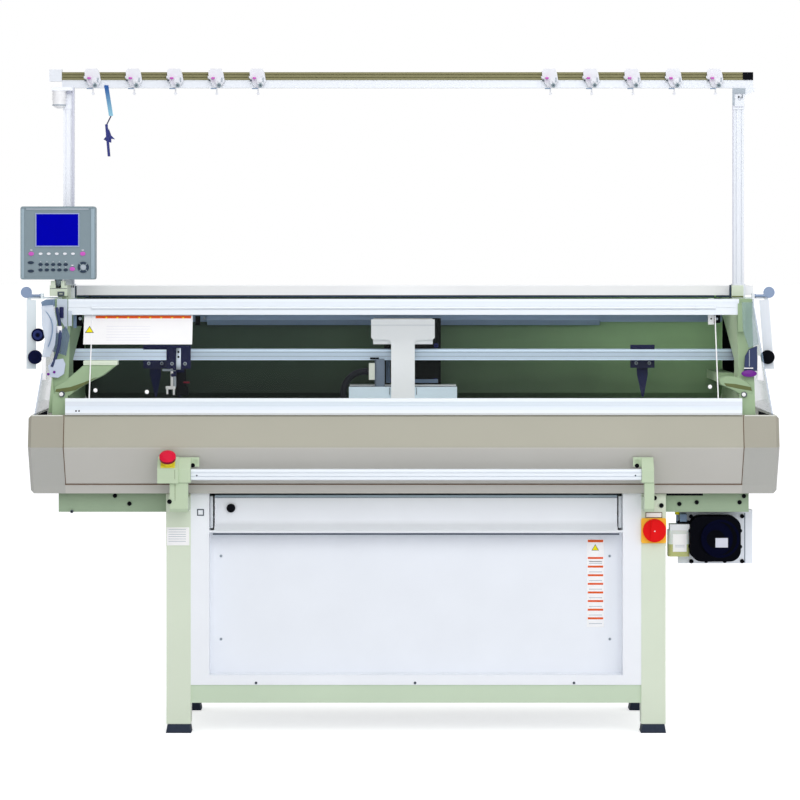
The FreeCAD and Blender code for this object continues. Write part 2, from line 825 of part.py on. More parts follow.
def cabinet_panel():
    """The recessed front panel, a shallow pan with its rim folded back."""
    inside = cabinet_panel_rim
    top = cabinet_panel_top - cabinet_sheet
    bottom = cabinet_bottom + cabinet_lip_height
    outer = block((window_left, window_right), (panel_plane, panel_plane + inside), (bottom, top))
    hollow = block((window_left + cabinet_sheet, window_right - cabinet_sheet),
                   (panel_plane + cabinet_sheet, panel_plane + inside + 1),
                   (bottom + cabinet_sheet, top - cabinet_sheet))
    node("cabinet_panel", cut(outer, [hollow], "cabinet_panel"))


def flap_hinge():
    """The axis that the flap turns on, low at the front of the cabinet's window."""
    return (cabinet_front + flap_pin_radius + 2, cabinet_panel_top + flap_pin_radius + 2)


def take_down_flap():
    """The curved flap in front of the rollers, with a ledge at its foot, pins and a latch knob."""
    left = window_left + flap_side_gap
    right = window_right - flap_side_gap
    hinge_along, hinge_up = flap_hinge()
    front = hinge_along - flap_pin_radius
    bottom = hinge_up - flap_pin_radius
    back = front + flap_depth + 4
    ledge = bottom + flap_ledge_height
    top = bottom + flap_height
    outline = [
        (front, bottom), (back + flap_sheet, ledge), (back + flap_sheet, top),
        (back, top), (back, ledge + flap_sheet), (front, bottom + flap_sheet * 2),
    ]
    body = new_body("flap_body")
    feature = pad(body, "x", outline, (left, right))
    rounded(body, feature, "x", [(back, ledge + flap_sheet)], flap_curve_radius)
    pins = rod("x", (hinge_along, hinge_up), flap_pin_radius,
               (window_left - cabinet_sheet, window_right + cabinet_sheet))
    latch_place = (left + 49, top - 32)
    latch = rod("y", latch_place, latch_radius, (back - latch_depth, back))
    node("take_down_flap", united([body, pins, latch], "take_down_flap"))


def take_down_rollers():
    """The driven take-down roller with its rubber bands, and the presser that runs on it."""
    ends = (window_left - cheek_thickness, window_right + cheek_thickness)
    face = (window_left + flap_side_gap, window_right - flap_side_gap)
    for label, (radius, place) in zip(("take_down_roller", "presser_roller"), roller_places()):
        body = new_body(label)
        outline = [
            (0, ends[0]), (roller_shaft_radius, ends[0]), (roller_shaft_radius, face[0]),
            (radius, face[0]), (radius, face[1]), (roller_shaft_radius, face[1]),
            (roller_shaft_radius, ends[1]), (0, ends[1]),
        ]
        turned(body, "x", (place, roller_height), outline)
        node(label, body)


# ---------------------------------------------------------------- bed base and needle beds

def bed_point(along, outward, side=-1):
    """A place on a bed: along its slope from the throat, and outward from its face."""
    reach = throat_gap / 2 + along * cosine(bed_slope) + outward * sine(bed_slope)
    height = throat_height - along * sine(bed_slope) + outward * cosine(bed_slope)
    return (side * reach, height)


def bed_outline():
    """The section of the front needle bed, its throat end cut upright."""
    throat = -throat_gap / 2
    foot = bed_thickness / cosine(bed_slope)
    return [
        (throat, throat_height), bed_point(bed_width, 0), bed_point(bed_width, -bed_thickness),
        (throat, throat_height - foot),
    ]


def seat_outline():
    """The sloped seat that carries the front bed."""
    inner = -slot_gap / 2
    drop = (slot_gap - throat_gap) / 2 * sine(bed_slope) / cosine(bed_slope)
    under = throat_height - bed_thickness / cosine(bed_slope) - drop
    low = bed_point(bed_width, -bed_thickness)
    return [(inner, base_top), (inner, under), low, (low[0], base_top)]


def bed_base():
    """The machine bed: a beam raised over the cabinet, two sloped seats and belt pedestals."""
    half = base_depth / 2
    beam = block((-base_half, base_half), (-half, half), (base_bottom, base_top))
    raised = block((cabinet_left, cabinet_right), (-half - 1, half + 1), (base_bottom - 1, cabinet_top))
    slot = block((-slot_length / 2, slot_length / 2), (-slot_gap / 2, slot_gap / 2),
                 (base_bottom, base_top + 1))
    pieces = [cut(beam, [raised, slot])]
    for side in (1, -1):
        pieces.append(prism("seat", "x", mirrored(seat_outline(), side), (-bed_length / 2, bed_length / 2)))
    for side in (-1, 1):
        across = side * pulley_place
        width = (across - pedestal_width / 2, across + pedestal_width / 2)
        pieces.append(block(width, (half - pedestal_depth, half), (base_top, belt_height + pedestal_width)))
    bores = []
    for side in (-1, 1):
        bores.append(rod("y", (side * pulley_place, belt_height), pulley_shaft_radius + pulley_bore_gap,
                         (half - pedestal_depth - 1, half + 1)))
    node("bed_base", cut(united(pieces, "base_solid"), bores, "bed_base"))


def needle_bed(label, side):
    """One needle bed: a slab with a row of cut tricks, and a hooked needle lying in each."""
    half = bed_length / 2
    body = new_body(label)
    pad(body, "x", mirrored(bed_outline(), side), (-half, half))
    first = (needle_pitch * (needle_count - 1) + trick_width) / 2
    trick = [bed_point(-20, 12, -side), bed_point(-20, -trick_depth, -side),
             bed_point(bed_width + 20, -trick_depth, -side), bed_point(bed_width + 20, 12, -side)]
    groove = pocket(body, "x", trick, (-first, -first + trick_width))
    tricks = pattern(body, groove)
    start = needle_height - trick_depth
    needle = [
        bed_point(bed_width - 30, -trick_depth, -side), bed_point(bed_width - 30, start, -side),
        bed_point(70, start, -side), bed_point(66, start + 7, -side), bed_point(58, start + 7, -side),
        bed_point(54, start, -side), bed_point(6, start, -side), bed_point(0, start + hook_reach, -side),
        bed_point(-2, start + 3, -side), bed_point(4, -trick_depth, -side),
    ]
    middle = -first + (trick_width - needle_width) / 2
    stem = pad(body, "x", needle, (middle, middle + needle_width))
    body.Tip = pattern(body, stem, tricks)
    node(label, body)


def pattern(body, feature, previous=None):
    """A feature repeated once for each needle along the bed."""
    document.recompute()
    row = body.newObject("PartDesign::LinearPattern", "row")
    row.Originals = [feature]
    row.Direction = (feature.Profile[0], ["N_Axis"])
    row.Reversed = False
    bind(row, {"Length": needle_pitch * (needle_count - 1), "Occurrences": needle_count})
    body.Tip = row
    return row


# ---------------------------------------------------------------- castings and covers

def end_casting(label, side):
    """The casting that closes one end, with the recess that takes the rails and a ledge under it."""
    outline = [
        (-casting_front + 30, base_top), (-casting_front, base_top + 40),
        (-casting_front, cover_top), (-hood_top_front, hood_top - 60), (-hood_top_front, hood_top),
        (-table_front, hood_top), (-table_front, table_bottom), (back_wall - cover_sheet, table_bottom),
        (back_wall - cover_sheet, back_wall_bottom), (casting_back, back_belly_top),
        (casting_back, back_belly_bottom), (casting_back - 60, base_top),
    ]
    corners = [outline[1], outline[2], outline[10]]
    ends = (side * casting_inner, side * casting_outer)
    plate = prism(label, "x", outline, ends, corners, cover_sheet * 4)
    sill = throat_height + recess_sill
    recess_back = back_wall - cover_sheet - recess_wall
    window = [
        (-recess_front, sill), (recess_back, sill), (recess_back, throat_height + recess_high_edge),
        (-recess_front, throat_height + recess_low_edge),
    ]
    recess = prism("recess", "x", window, (side * casting_inner, side * (casting_inner + recess_depth)), window,
                   cover_sheet * 3)
    ledge = block((side * (casting_inner - ledge_reach), side * casting_inner), (-recess_front, back_wall - cover_sheet - ledge_gap),
                  (sill - ledge_thickness, sill))
    node(label, united([cut(plate, [recess]), ledge], label))


def rear_cover():
    """The bent rear cover, from under the yarn table to the machine bed."""
    inner = [
        (-front_ledge + back_wall - cover_sheet, table_bottom - cover_sheet),
        (back_wall - cover_sheet, table_bottom - cover_sheet),
        (back_wall - cover_sheet, back_wall_bottom), (back_reach - cover_sheet, back_belly_top),
        (back_reach - cover_sheet, back_belly_bottom), (front_bottom_reach, front_bottom_height + cover_sheet),
        (base_depth / 2, front_bottom_height + cover_sheet),
    ]
    outer = [
        (base_depth / 2, front_bottom_height), (front_bottom_reach + cover_sheet, front_bottom_height),
        (back_reach, back_belly_bottom), (back_reach, back_belly_top),
        (back_wall, back_wall_bottom + cover_sheet), (back_wall, table_bottom),
        (-front_ledge + back_wall - cover_sheet, table_bottom),
    ]
    node("rear_cover", prism("rear_cover", "x", inner + outer, (-casting_inner, casting_inner)))


def yarn_table():
    """The shallow tray on top that the yarn cones stand on."""
    half = table_length / 2
    outer = block((-half, half), (-table_front, table_back), (table_bottom, table_top))
    hollow = block((table_sheet - half, half - table_sheet),
                   (table_sheet - table_front, table_back - table_sheet),
                   (table_bottom + table_sheet, table_top + 1))
    node("yarn_shelf", cut(outer, [hollow], "yarn_shelf"))


def front_bends():
    """The bends of the front cover, from its top edge down to its foot."""
    return [
        (-front_top_reach, cover_top), (-front_crease_reach, front_crease_height),
        (-front_bend_reach, front_bend_height), (-front_bottom_reach, front_bottom_height),
    ]


def front_cover():
    """The long bent cover below the hood, with a ledge folded in at its top and its foot."""
    outer = front_bends()
    inner = [(along + cover_sheet, up) for along, up in outer]
    outline = outer + [
        (-base_depth / 2, front_bottom_height), (-base_depth / 2, front_bottom_height + cover_sheet),
        (inner[3][0], front_bottom_height + cover_sheet), inner[2], inner[1],
        (inner[0][0], cover_top - cover_sheet), (front_ledge - front_top_reach, cover_top - cover_sheet),
        (front_ledge - front_top_reach, cover_top),
    ]
    corners = [outer[1], inner[1]]
    node("front_cover", prism("front_cover", "x", outline, (-cover_half, cover_half), corners, cover_sheet * 3))


def end_cover(label, side):
    """A hollow cap over one end, drawn in at its outer edges."""
    body = new_body(label)
    bends = front_bends() + [
        (front_bottom_reach, front_bottom_height), (back_reach, back_belly_bottom), (back_reach, cover_top),
    ]
    outer = pad(body, "x", bends, (side * cover_half, side * end_cover_reach))
    document.recompute()
    rim = []
    for number, edge in enumerate(outer.Shape.Edges, 1):
        across = [vertex.Point.x for vertex in edge.Vertexes]
        if max(abs(place - side * end_cover_reach.number) for place in across) < 0.01:
            rim.append("Edge%d" % number)
    bevel = body.newObject("PartDesign::Chamfer", "bevel")
    bevel.Base = (outer, rim)
    bind(bevel, {"Size": end_cover_edge})
    wall = cover_sheet
    inside = [
        (wall - front_top_reach, cover_top - wall), (wall - front_crease_reach, front_crease_height),
        (wall - front_bend_reach, front_bend_height + wall),
        (wall - front_bottom_reach, front_bottom_height + wall),
        (front_bottom_reach - wall, front_bottom_height + wall), (back_reach - wall, back_belly_bottom),
        (back_reach - wall, cover_top - wall),
    ]
    pocket(body, "x", inside, (side * (cover_half - 1), side * (end_cover_reach - end_cover_edge)))
    notch = rectangle((wall * 2 - front_top_reach, back_reach - wall * 2),
                      (cover_top - wall * 2, cover_top + 1))
    pocket(body, "x", notch, (side * (cover_half - 1), side * (casting_outer + 1)))
    foot = rectangle((-base_depth / 2 - 1, base_depth / 2 + 1),
                     (front_bottom_height - 1, front_bottom_height + wall * 2))
    pocket(body, "x", foot, (side * (cover_half - 1), side * (base_half + 1)))
    node(label, body)


def side_covers():
    """The clear covers over both ends."""
    node("side_covers", group([side_cover(-1), side_cover(1)], "side_covers"))


def side_cover(side):
    """The clear cover over one end: a leaning sheet with a flange on the casting."""
    body = new_body("side_cover")
    thick = side_cover_sheet
    bend = hood_top - side_cover_flange * 2
    outline = [
        (side * side_cover_bottom_reach, cover_top), (side * (side_cover_bottom_reach - thick), cover_top),
        (side * casting_outer, bend), (side * casting_outer, hood_top),
        (side * (casting_outer + thick), hood_top), (side * (casting_outer + thick), bend),
    ]
    pad(body, "y", outline, (-side_cover_front, back_wall))
    lean = [
        (-side_cover_front - 1, cover_top), (-side_cover_top_front, table_bottom),
        (-side_cover_top_front, table_bottom + 20), (-side_cover_front - 1, table_bottom + 20),
    ]
    reach = (side * (casting_outer - 1), side * (side_cover_bottom_reach + 1))
    pocket(body, "x", lean, reach)
    return body


# ---------------------------------------------------------------- hood

def hood_hinge():
    """The axis that the hood swings on, at the front between the two upper profiles."""
    return (-hood_rail_front - hinge_radius + 2, hood_top - hood_rail_height - hinge_gap / 2)


def ear_places():
    """The stretches of the hinge that belong to the fixed rail."""
    half = hood_rail_length / 2
    places = []
    for middle in (-half * 0.9, as_size(0), half * 0.9):
        places.append((middle - hinge_ear_length / 2, middle + hinge_ear_length / 2))
    return places


def knuckle_places(gap):
    """The stretches of the hinge that belong to the hood, with a gap at each end."""
    ears = ear_places()
    return [(ears[0][1] + gap, ears[1][0] - gap), (ears[1][1] + gap, ears[2][0] - gap)]


def hood_rails():
    """The fixed upper rail with its hinge ears, and the clear pane that lies behind it."""
    half = hood_rail_length / 2
    bottom = hood_top - hood_rail_height
    back = hood_rail_depth - hood_rail_front
    groove = hood_rail_groove
    middle = (bottom + hood_top) / 2
    front = -hood_rail_front
    outline = [
        (front, bottom), (back, bottom), (back, hood_top), (front, hood_top),
        (front, middle + groove), (front + groove, middle + groove),
        (front + groove, middle - groove), (front, middle - groove),
    ]
    rail = prism("rail_profile", "x", outline, (-half, half), [outline[3]], groove * 2)
    centre = hood_hinge()
    clear = [rod("x", centre, hinge_radius + hinge_gap, ends) for ends in knuckle_places(0)]
    pieces = [cut(rail, clear)]
    bores = []
    for ends in ear_places():
        pieces.append(rod("x", centre, hinge_radius, ends))
        bores.append(rod("x", centre, hinge_pin_radius + shaft_clearance, (ends[0] - 1, ends[1] + 1)))
    node("hood_upper_rail", cut(united(pieces, "rail_solid"), bores, "hood_upper_rail"))
    pane = block((-half + 4, half - 4), (back, -table_front - 2), (hood_top, hood_top + pane_thickness))
    node("hood_top_pane", pane)


def pane_line(height, outward=0):
    """A place on the front pane's line at a height, moved outward across the line."""
    low = (-lower_rail_front + lower_rail_depth / 2, cover_top + cover_gap + lower_rail_height)
    high = (-hood_rail_front + hood_rail_depth / 2, hood_top - hood_rail_height - hinge_gap - 21)
    share = (height - low[1]) / (high[1] - low[1])
    return (low[0] + (high[0] - low[0]) * share + outward, height)


def hood():
    """The swinging hood: hinge profile, clear pane and lower rail."""
    half = hood_rail_length / 2
    top = hood_top - hood_rail_height - hinge_gap
    bottom = top - 21
    front = -hood_rail_front
    back = hood_rail_depth - hood_rail_front - 4
    slot_low = pane_line(bottom)
    slot_high = pane_line(bottom + pane_slot_depth)
    thick = pane_thickness / 2
    outline = [
        (front, top), (front, bottom), (slot_low[0] - thick, bottom), (slot_high[0] - thick, slot_high[1]),
        (slot_high[0] + thick, slot_high[1]), (slot_low[0] + thick, bottom), (back, bottom), (back, top),
    ]
    profile = prism("hinge_profile", "x", outline, (-half, half))
    centre = hood_hinge()
    ears = ear_places()
    gap = hinge_gap
    knuckles = [rod("x", centre, hinge_radius, ends) for ends in knuckle_places(gap)]
    clear = [rod("x", centre, hinge_radius + gap, (ends[0] - gap, ends[1] + gap)) for ends in ears]
    pin = rod("x", centre, hinge_pin_radius, (ears[0][0], ears[2][1]))
    node("hood_hinge_rail", united([cut(profile, clear), pin] + knuckles, "hood_hinge_rail"))
    low_top = cover_top + cover_gap + lower_rail_height
    low_slot = pane_line(low_top - pane_slot_depth)
    low_mouth = pane_line(low_top)
    pane = [
        (low_slot[0] - thick, low_slot[1]), (low_slot[0] + thick, low_slot[1]),
        (slot_high[0] + thick, slot_high[1]), (slot_high[0] - thick, slot_high[1]),
    ]
    node("hood_pane", prism("hood_pane", "x", pane, (-pane_length / 2, pane_length / 2)))
    base = cover_top + cover_gap
    near = -lower_rail_front
    far = near + lower_rail_depth
    groove = hood_rail_groove
    section = [
        (near, base), (far, base), (far, low_top), (low_mouth[0] + thick, low_top),
        (low_slot[0] + thick, low_slot[1]), (low_slot[0] - thick, low_slot[1]),
        (low_mouth[0] - thick, low_top), (near, low_top),
        (near, base + 37), (near + groove, base + 37), (near + groove, base + 33), (near, base + 33),
        (near, base + 28), (near + groove, base + 28), (near + groove, base + 24), (near, base + 24),
    ]
    node("hood_lower_rail", prism("hood_lower_rail", "x", section, (-half, half)))


# ---------------------------------------------------------------- rails, lamp and carriage

def rail_rows():
    """The four places across the machine where yarn rails run."""
    return [yarn_rail_spacing * (row - 1.5) for row in range(4)]


def yarn_rails():
    """Four grooved rails, each end seated in a casting's recess."""
    rails = []
    reach = casting_inner + recess_depth
    for row in rail_rows():
        half = yarn_rail_thickness / 2
        deep = yarn_rail_groove
        bottom = yarn_rail_top - yarn_rail_height
        third = yarn_rail_height / 3
        outline = [
            (row - half, bottom), (row + half, bottom), (row + half, bottom + third),
            (row + half - deep, bottom + third), (row + half - deep, bottom + third * 2),
            (row + half, bottom + third * 2), (row + half, yarn_rail_top), (row - half, yarn_rail_top),
            (row - half, bottom + third * 2), (row - half + deep, bottom + third * 2),
            (row - half + deep, bottom + third), (row - half, bottom + third),
        ]
        rails.append(prism("rail_body", "x", outline, (-reach, reach)))
    node("yarn_rails", group(rails, "yarn_rails"))


def guide_rails():
    """The two straight rails on the machine bed that the carriage runs on."""
    rails = []
    for side in (-1, 1):
        near = side * (guide_reach - guide_width / 2)
        far = side * (guide_reach + guide_width / 2)
        rails.append(block((-guide_length / 2, guide_length / 2), (near, far),
                           (base_top, base_top + guide_height)))
    node("carriage_rails", group(rails, "carriage_rails"))


def lamp():
    """The long work lamp on its rail along the rear wall."""
    wall = back_wall - cover_sheet
    rail_top = lamp_bottom + lamp_height
    rail = block((-casting_inner, casting_inner), (wall - lamp_rail_depth, wall),
                 (rail_top - lamp_rail_height, rail_top))
    face = wall - lamp_rail_depth
    outline = [
        (face, lamp_bottom), (face, rail_top), (face - lamp_depth, rail_top),
        (face - lamp_depth, lamp_bottom + lamp_height / 2), (face - lamp_depth / 2, lamp_bottom),
    ]
    housing = prism("lamp_body", "x", outline, (-lamp_length / 2, lamp_length / 2))
    node("lamp", united([rail, housing], "lamp"))


def carriage_outline():
    """Section of the front half of the carriage, from over the needles down to its rail."""
    rail_top = base_top + guide_height + sliding_gap
    near = guide_reach - guide_width / 2 - sliding_gap
    far = guide_reach + guide_width / 2 + sliding_gap
    foot = base_top + 8
    under = needle_height + butt_clearance
    lower = bed_point(bed_width - 8, under)
    return [
        bed_point(26, under), bed_point(26, 60), (-carriage_inner, carriage_top),
        (-carriage_outer, carriage_top), (-carriage_outer, throat_height),
        (-guide_reach, base_top + carriage_waist),
        (-carriage_foot, base_top + carriage_skirt), (-carriage_foot, foot), (-far, foot), (-far, rail_top),
        (-near, rail_top), (-near, foot), (20 - near, foot), (20 - near, rail_top), lower,
    ]


def carriage():
    """Front and rear cam boxes, and the bridge that joins them over the yarn rails."""
    ends = (carriage_place - carriage_length / 2, carriage_place + carriage_length / 2)
    front_box = prism("cam_box", "x", carriage_outline(), ends)
    wide = (socket_left + socket_cap, socket_left + socket_width)
    deep = (-carriage_outer + 4, -carriage_inner - 10)
    tower = block(wide, deep, (carriage_top, carriage_top + socket_height))
    cap = block((socket_left, wide[0]), deep,
                (carriage_top + socket_height * 0.25, carriage_top + socket_height * 0.85))
    gland_half = cable_radius + gland_wall
    gland = block((ends[0] - cable_radius - cable_stand_off - gland_half, ends[0]),
                  (cable_row - gland_half, cable_row + gland_half),
                  (cable_end - gland_height, cable_end))
    node("carriage_front", united([front_box, tower, cap, gland], "carriage_front"))
    rear_box = prism("cam_box", "x", mirrored(carriage_outline(), -1), ends)
    clamp_bottom = belt_height + pulley_radius + belt_thickness + sliding_gap
    clamp = block((carriage_place - 30, carriage_place + 30), (guide_reach - 20, belt_reach + belt_width),
                  (clamp_bottom, clamp_bottom + 18))
    node("carriage_rear", united([rear_box, clamp], "carriage_rear"))
    carriage_bridge()


def carriage_bridge():
    """The bridge: a T plate in front, an arm over the rails and a plate behind."""
    left = carriage_place - bridge_width / 2
    right = carriage_place + bridge_width / 2
    stem_left = carriage_place - bridge_stem_width / 2
    stem_right = carriage_place + bridge_stem_width / 2
    face = -carriage_outer
    bevel = bridge_plate / 2
    tee = [
        (left, bridge_top), (left, bridge_arm_bottom + bevel), (left + bevel, bridge_arm_bottom),
        (stem_left, bridge_arm_bottom), (stem_left, bridge_stem_bottom),
        (stem_right, bridge_stem_bottom), (stem_right, bridge_arm_bottom),
        (right - bevel, bridge_arm_bottom), (right, bridge_arm_bottom + bevel), (right, bridge_top),
    ]
    plate = prism("tee", "y", tee, (face - bridge_plate, face), [tee[3], tee[6]], bridge_corner)
    back = -face - bridge_plate - 8
    arm = block((left + bevel, right - bevel), (face, back), (bridge_arch, bridge_top))
    back_left = bridge_back_shift - bridge_back_width / 2
    back_right = bridge_back_shift + bridge_back_width / 2
    rear = block((back_left, back_right), (back, back + bridge_plate), (carriage_top, bridge_top))
    node("carriage_bridge", united([plate, arm, rear], "carriage_bridge"))


def carriage_cable():
    """The short cable from the socket, round and down the end of the cam box to its gland."""
    level = carriage_top + socket_height * 0.55
    fall = carriage_place - carriage_length / 2 - cable_radius - cable_stand_off
    route = [(socket_left, level), (fall, level), (fall, cable_end)]
    points = [FreeCAD.Vector(across.number, cable_row.number, up.number) for across, up in route]
    middle = FreeCAD.Vector(middle_x.number, middle_y.number, 0)
    edges = []
    start = points[0]
    for before, corner, after in zip(points, points[1:], points[2:]):
        first = corner - before
        second = after - corner
        turn = first.getAngle(second)
        radius = 0.85 * min(first.Length, second.Length) / math.tan(turn / 2)
        reach = radius * math.tan(turn / 2)
        into = corner - first.normalize() * reach
        out = corner + second.normalize() * reach
        bisector = (into + out) * 0.5 - corner
        sag = radius / math.cos(turn / 2) - radius
        middle_of_arc = corner + bisector.normalize() * sag
        edges.append(Part.LineSegment(start, into).toShape())
        edges.append(Part.Arc(into, middle_of_arc, out).toShape())
        print("cable bend radius %.1f" % radius)
        start = out
    edges.append(Part.LineSegment(start, points[-1]).toShape())
    path = Part.Wire(edges)
    section = Part.Wire(Part.makeCircle(cable_radius.number, points[0], points[1] - points[0]))
    tube = path.makePipeShell([section], True, False)
    length = path.Length
    volume = length * math.pi * cable_radius.number ** 2
    print("cable length %.1f, volume %.0f against %.0f" % (length, tube.Volume, volume))
    feature = document.addObject("Part::Feature", "carriage_cable")
    feature.Shape = tube
    feature.Placement = FreeCAD.Placement(middle, FreeCAD.Rotation())
    node("carriage_cable", feature)


def yarn_carrier(label, row, across, tip_row):
    """A carrier block that straddles a yarn rail, with a slanted feeder down to the throat."""
    place = rail_rows()[row]
    half = carrier_thickness / 2
    rail = yarn_rail_thickness / 2 + sliding_gap
    top = yarn_rail_top + sliding_gap
    section = [
        (place - half, carrier_bottom), (place - rail, carrier_bottom), (place - rail, top),
        (place + rail, top), (place + rail, carrier_bottom), (place + half, carrier_bottom),
        (place + half, carrier_top), (place - half, carrier_top),
    ]
    width = (across - carrier_width / 2, across + carrier_width / 2)
    saddle = prism("saddle", "x", section, width, [section[6], section[7]], 3)
    tip = tip_row * feeder_tip_spacing
    thick = feeder_thickness
    outward = -1 if row < 2 else 1
    start = place + outward * (rail + thick / 2)
    low = yarn_rail_top - yarn_rail_height - 6
    feeder = new_body("feeder")
    slant = [
        (start - thick / 2, low), (start + thick / 2, low), (start + thick / 2, carrier_bottom - 4),
        (tip + thick / 2, feeder_tip_height + 14), (tip + thick / 2, feeder_tip_height),
        (tip - thick / 2, feeder_tip_height), (tip - thick / 2, feeder_tip_height + 14),
        (start - thick / 2, carrier_bottom - 4),
    ]
    pad(feeder, "x", slant, (across - feeder_width / 2, across + feeder_width / 2))
    for side in (-1, 1):
        taper = [
            (across + side * feeder_width / 2, carrier_bottom - 20),
            (across + side * feeder_tip_width / 2, feeder_tip_height - 1),
            (across + side * feeder_width, feeder_tip_height - 1),
            (across + side * feeder_width, carrier_bottom - 20),
        ]
        pocket(feeder, "y", taper, (place - 60, place + 60))
    node(label, united([saddle, feeder], label))


def yarn_carriers():
    """Three carriers parked beside the needles, each on its own rail."""
    parked = bed_length / 2 + park_gap
    yarn_carrier("yarn_carrier_front", 0, -parked, -1.5)
    yarn_carrier("yarn_carrier_middle", 1, -parked - carrier_width, -0.5)
    yarn_carrier("yarn_carrier_rear", 2, parked + park_gap_right, 0.5)


# ---------------------------------------------------------------- belt drive

def belt_drive():
    """The toothed belt behind the beds, and the two flanged pulleys that it runs on."""
    near = belt_reach
    far = belt_reach + belt_width

    def racetrack(radius, ends):
        straight = block((-pulley_place, pulley_place), ends, (belt_height - radius, belt_height + radius))
        rounds = [rod("y", (side * pulley_place, belt_height), radius, ends) for side in (-1, 1)]
        return united([straight] + rounds, "racetrack")

    outer = racetrack(pulley_radius + belt_thickness, (near, far))
    inner = racetrack(pulley_radius + sliding_gap, (near - 1, far + 1))
    node("drive_belt", cut(outer, [inner], "drive_belt"))
    pedestal = base_depth / 2 - pedestal_depth
    for label, side in (("drive_pulley", 1), ("idler_pulley", -1)):
        body = new_body(label)
        rim = pulley_radius + belt_thickness + 2
        outline = [
            (0, pedestal), (pulley_shaft_radius, pedestal), (pulley_shaft_radius, near - pulley_flange - 2),
            (rim, near - pulley_flange - 1), (rim, near - 1), (pulley_radius, near - 1),
            (pulley_radius, far + 1), (rim, far + 1), (rim, far + pulley_flange + 1),
            (pulley_shaft_radius * 2, far + pulley_flange + 1), (pulley_shaft_radius * 2, far + 10),
            (0, far + 10),
        ]
        turned(body, "y", (side * pulley_place, belt_height), outline)
        node(label, body)


# ---------------------------------------------------------------- yarn stand

def yarn_post(label, side):
    """A grooved post on its foot block, with the head that carries the bars."""
    inner = post_place - post_width / 2
    outer = post_place + post_width / 2
    front = -post_front
    back = post_depth - post_front
    foot_top = hood_top + foot_height
    foot = block((side * (post_place - foot_width / 2), side * (post_place + foot_width / 2)),
                 (front - 7, front - 7 + foot_depth), (hood_top, foot_top))
    post = block((side * inner, side * outer), (front, back), (foot_top, stand_rail_top - stand_rail_tall))
    groove_half = post_groove
    middle = post_place
    grooves = []
    for offset in (-post_width / 4, post_width / 4):
        place = side * (middle + offset)
        grooves.append(block((place - groove_half / 2, place + groove_half / 2),
                             (front - 1, front + post_groove),
                             (foot_top + 1, stand_rail_top - stand_rail_tall - post_head_height)))
    head_top = stand_rail_top - stand_rail_tall
    head_bottom = head_top - post_head_height
    head = block((side * inner, side * (outer + 1)), (front - 3, back + 3), (head_bottom, head_top))
    if side > 0:
        arm_outline = [
            (outer + 1, head_top), (outer + post_head_arm, head_top),
            (outer + post_head_arm, head_top - 10), (outer + 1, head_top - 26),
        ]
        arm = prism("head_arm", "y", arm_outline, (front, back))
    else:
        arm = block((-post_place - signal_offset - signal_radius, -inner),
                    (front - 3 - signal_radius * 2, front - 3), (head_top - 10, head_top))
    body = united([cut(post, grooves), foot, head, arm], label)
    if side > 0:
        hole = rod("y", (post_place + 3, (head_bottom + head_top) / 2), 6, (front - 4, front + 6))
        body = cut(body, [hole], label)
    node(label, body)


def yarn_stand():
    """Two posts, the rail on them, the bar over the rail and the pilot lamp."""
    yarn_post("yarn_post_left", -1)
    yarn_post("yarn_post_right", 1)
    bottom = stand_rail_top - stand_rail_tall
    half = stand_bar_half
    near = -post_front - 4
    far = near + stand_bar_depth
    rail = block((-half, half + bar_cap_length - 14), (near + 3, far + 8), (bottom, stand_rail_top))
    top = stand_rail_top + stand_bar_height
    third = stand_bar_height / 3
    outline = [
        (near, stand_rail_top), (far, stand_rail_top), (far, top), (near, top),
        (near, top - third + 1), (near + 2, top - third), (near, top - third - 1),
        (near, stand_rail_top + third + 1), (near + 2, stand_rail_top + third),
        (near, stand_rail_top + third - 1),
    ]
    bar = prism("top_bar", "x", outline, (-half, half - 8))
    left_cap = block((-half - bar_cap_length, -half), (near - 3, far + 3), (stand_rail_top - 4, top + 8))
    right_cap = block((half - 8, half + bar_cap_length - 14), (near - 1, far + 1), (stand_rail_top, top))
    node("stand_rail", group([rail, left_cap], "stand_rail"))
    node("top_bar", group([bar, right_cap], "top_bar"))
    body = new_body("signal_lamp")
    top_of_lamp = bottom - 10
    rings = []
    ring = signal_height * 0.6 / 8
    for step in range(4):
        level = top_of_lamp - ring * 2 * step
        rings += [(signal_radius, level), (signal_radius, level - ring),
                  (signal_radius - 2, level - ring), (signal_radius - 2, level - ring * 2)]
    foot = top_of_lamp - signal_height
    outline = [(0, top_of_lamp)] + rings + [
        (signal_radius - 2, foot + 12), (signal_radius - 5, foot + 6), (signal_radius - 10, foot + 2),
        (signal_radius - 15, foot), (0, foot),
    ]
    turned(body, "z", (-post_place - signal_offset, -post_front - 3 - signal_radius), outline)
    node("signal_lamp", body)


def tension_units():
    """The ten top tension units: a clip over the bar, discs on a pin, a guide eye and a wire."""
    units = []
    for side in (-1, 1):
        for number in range(int(tension_count.number)):
            units.append(tension_unit(side * (tension_first + tension_spacing * number)))
    node("tension_units", group(units, "tension_units"))


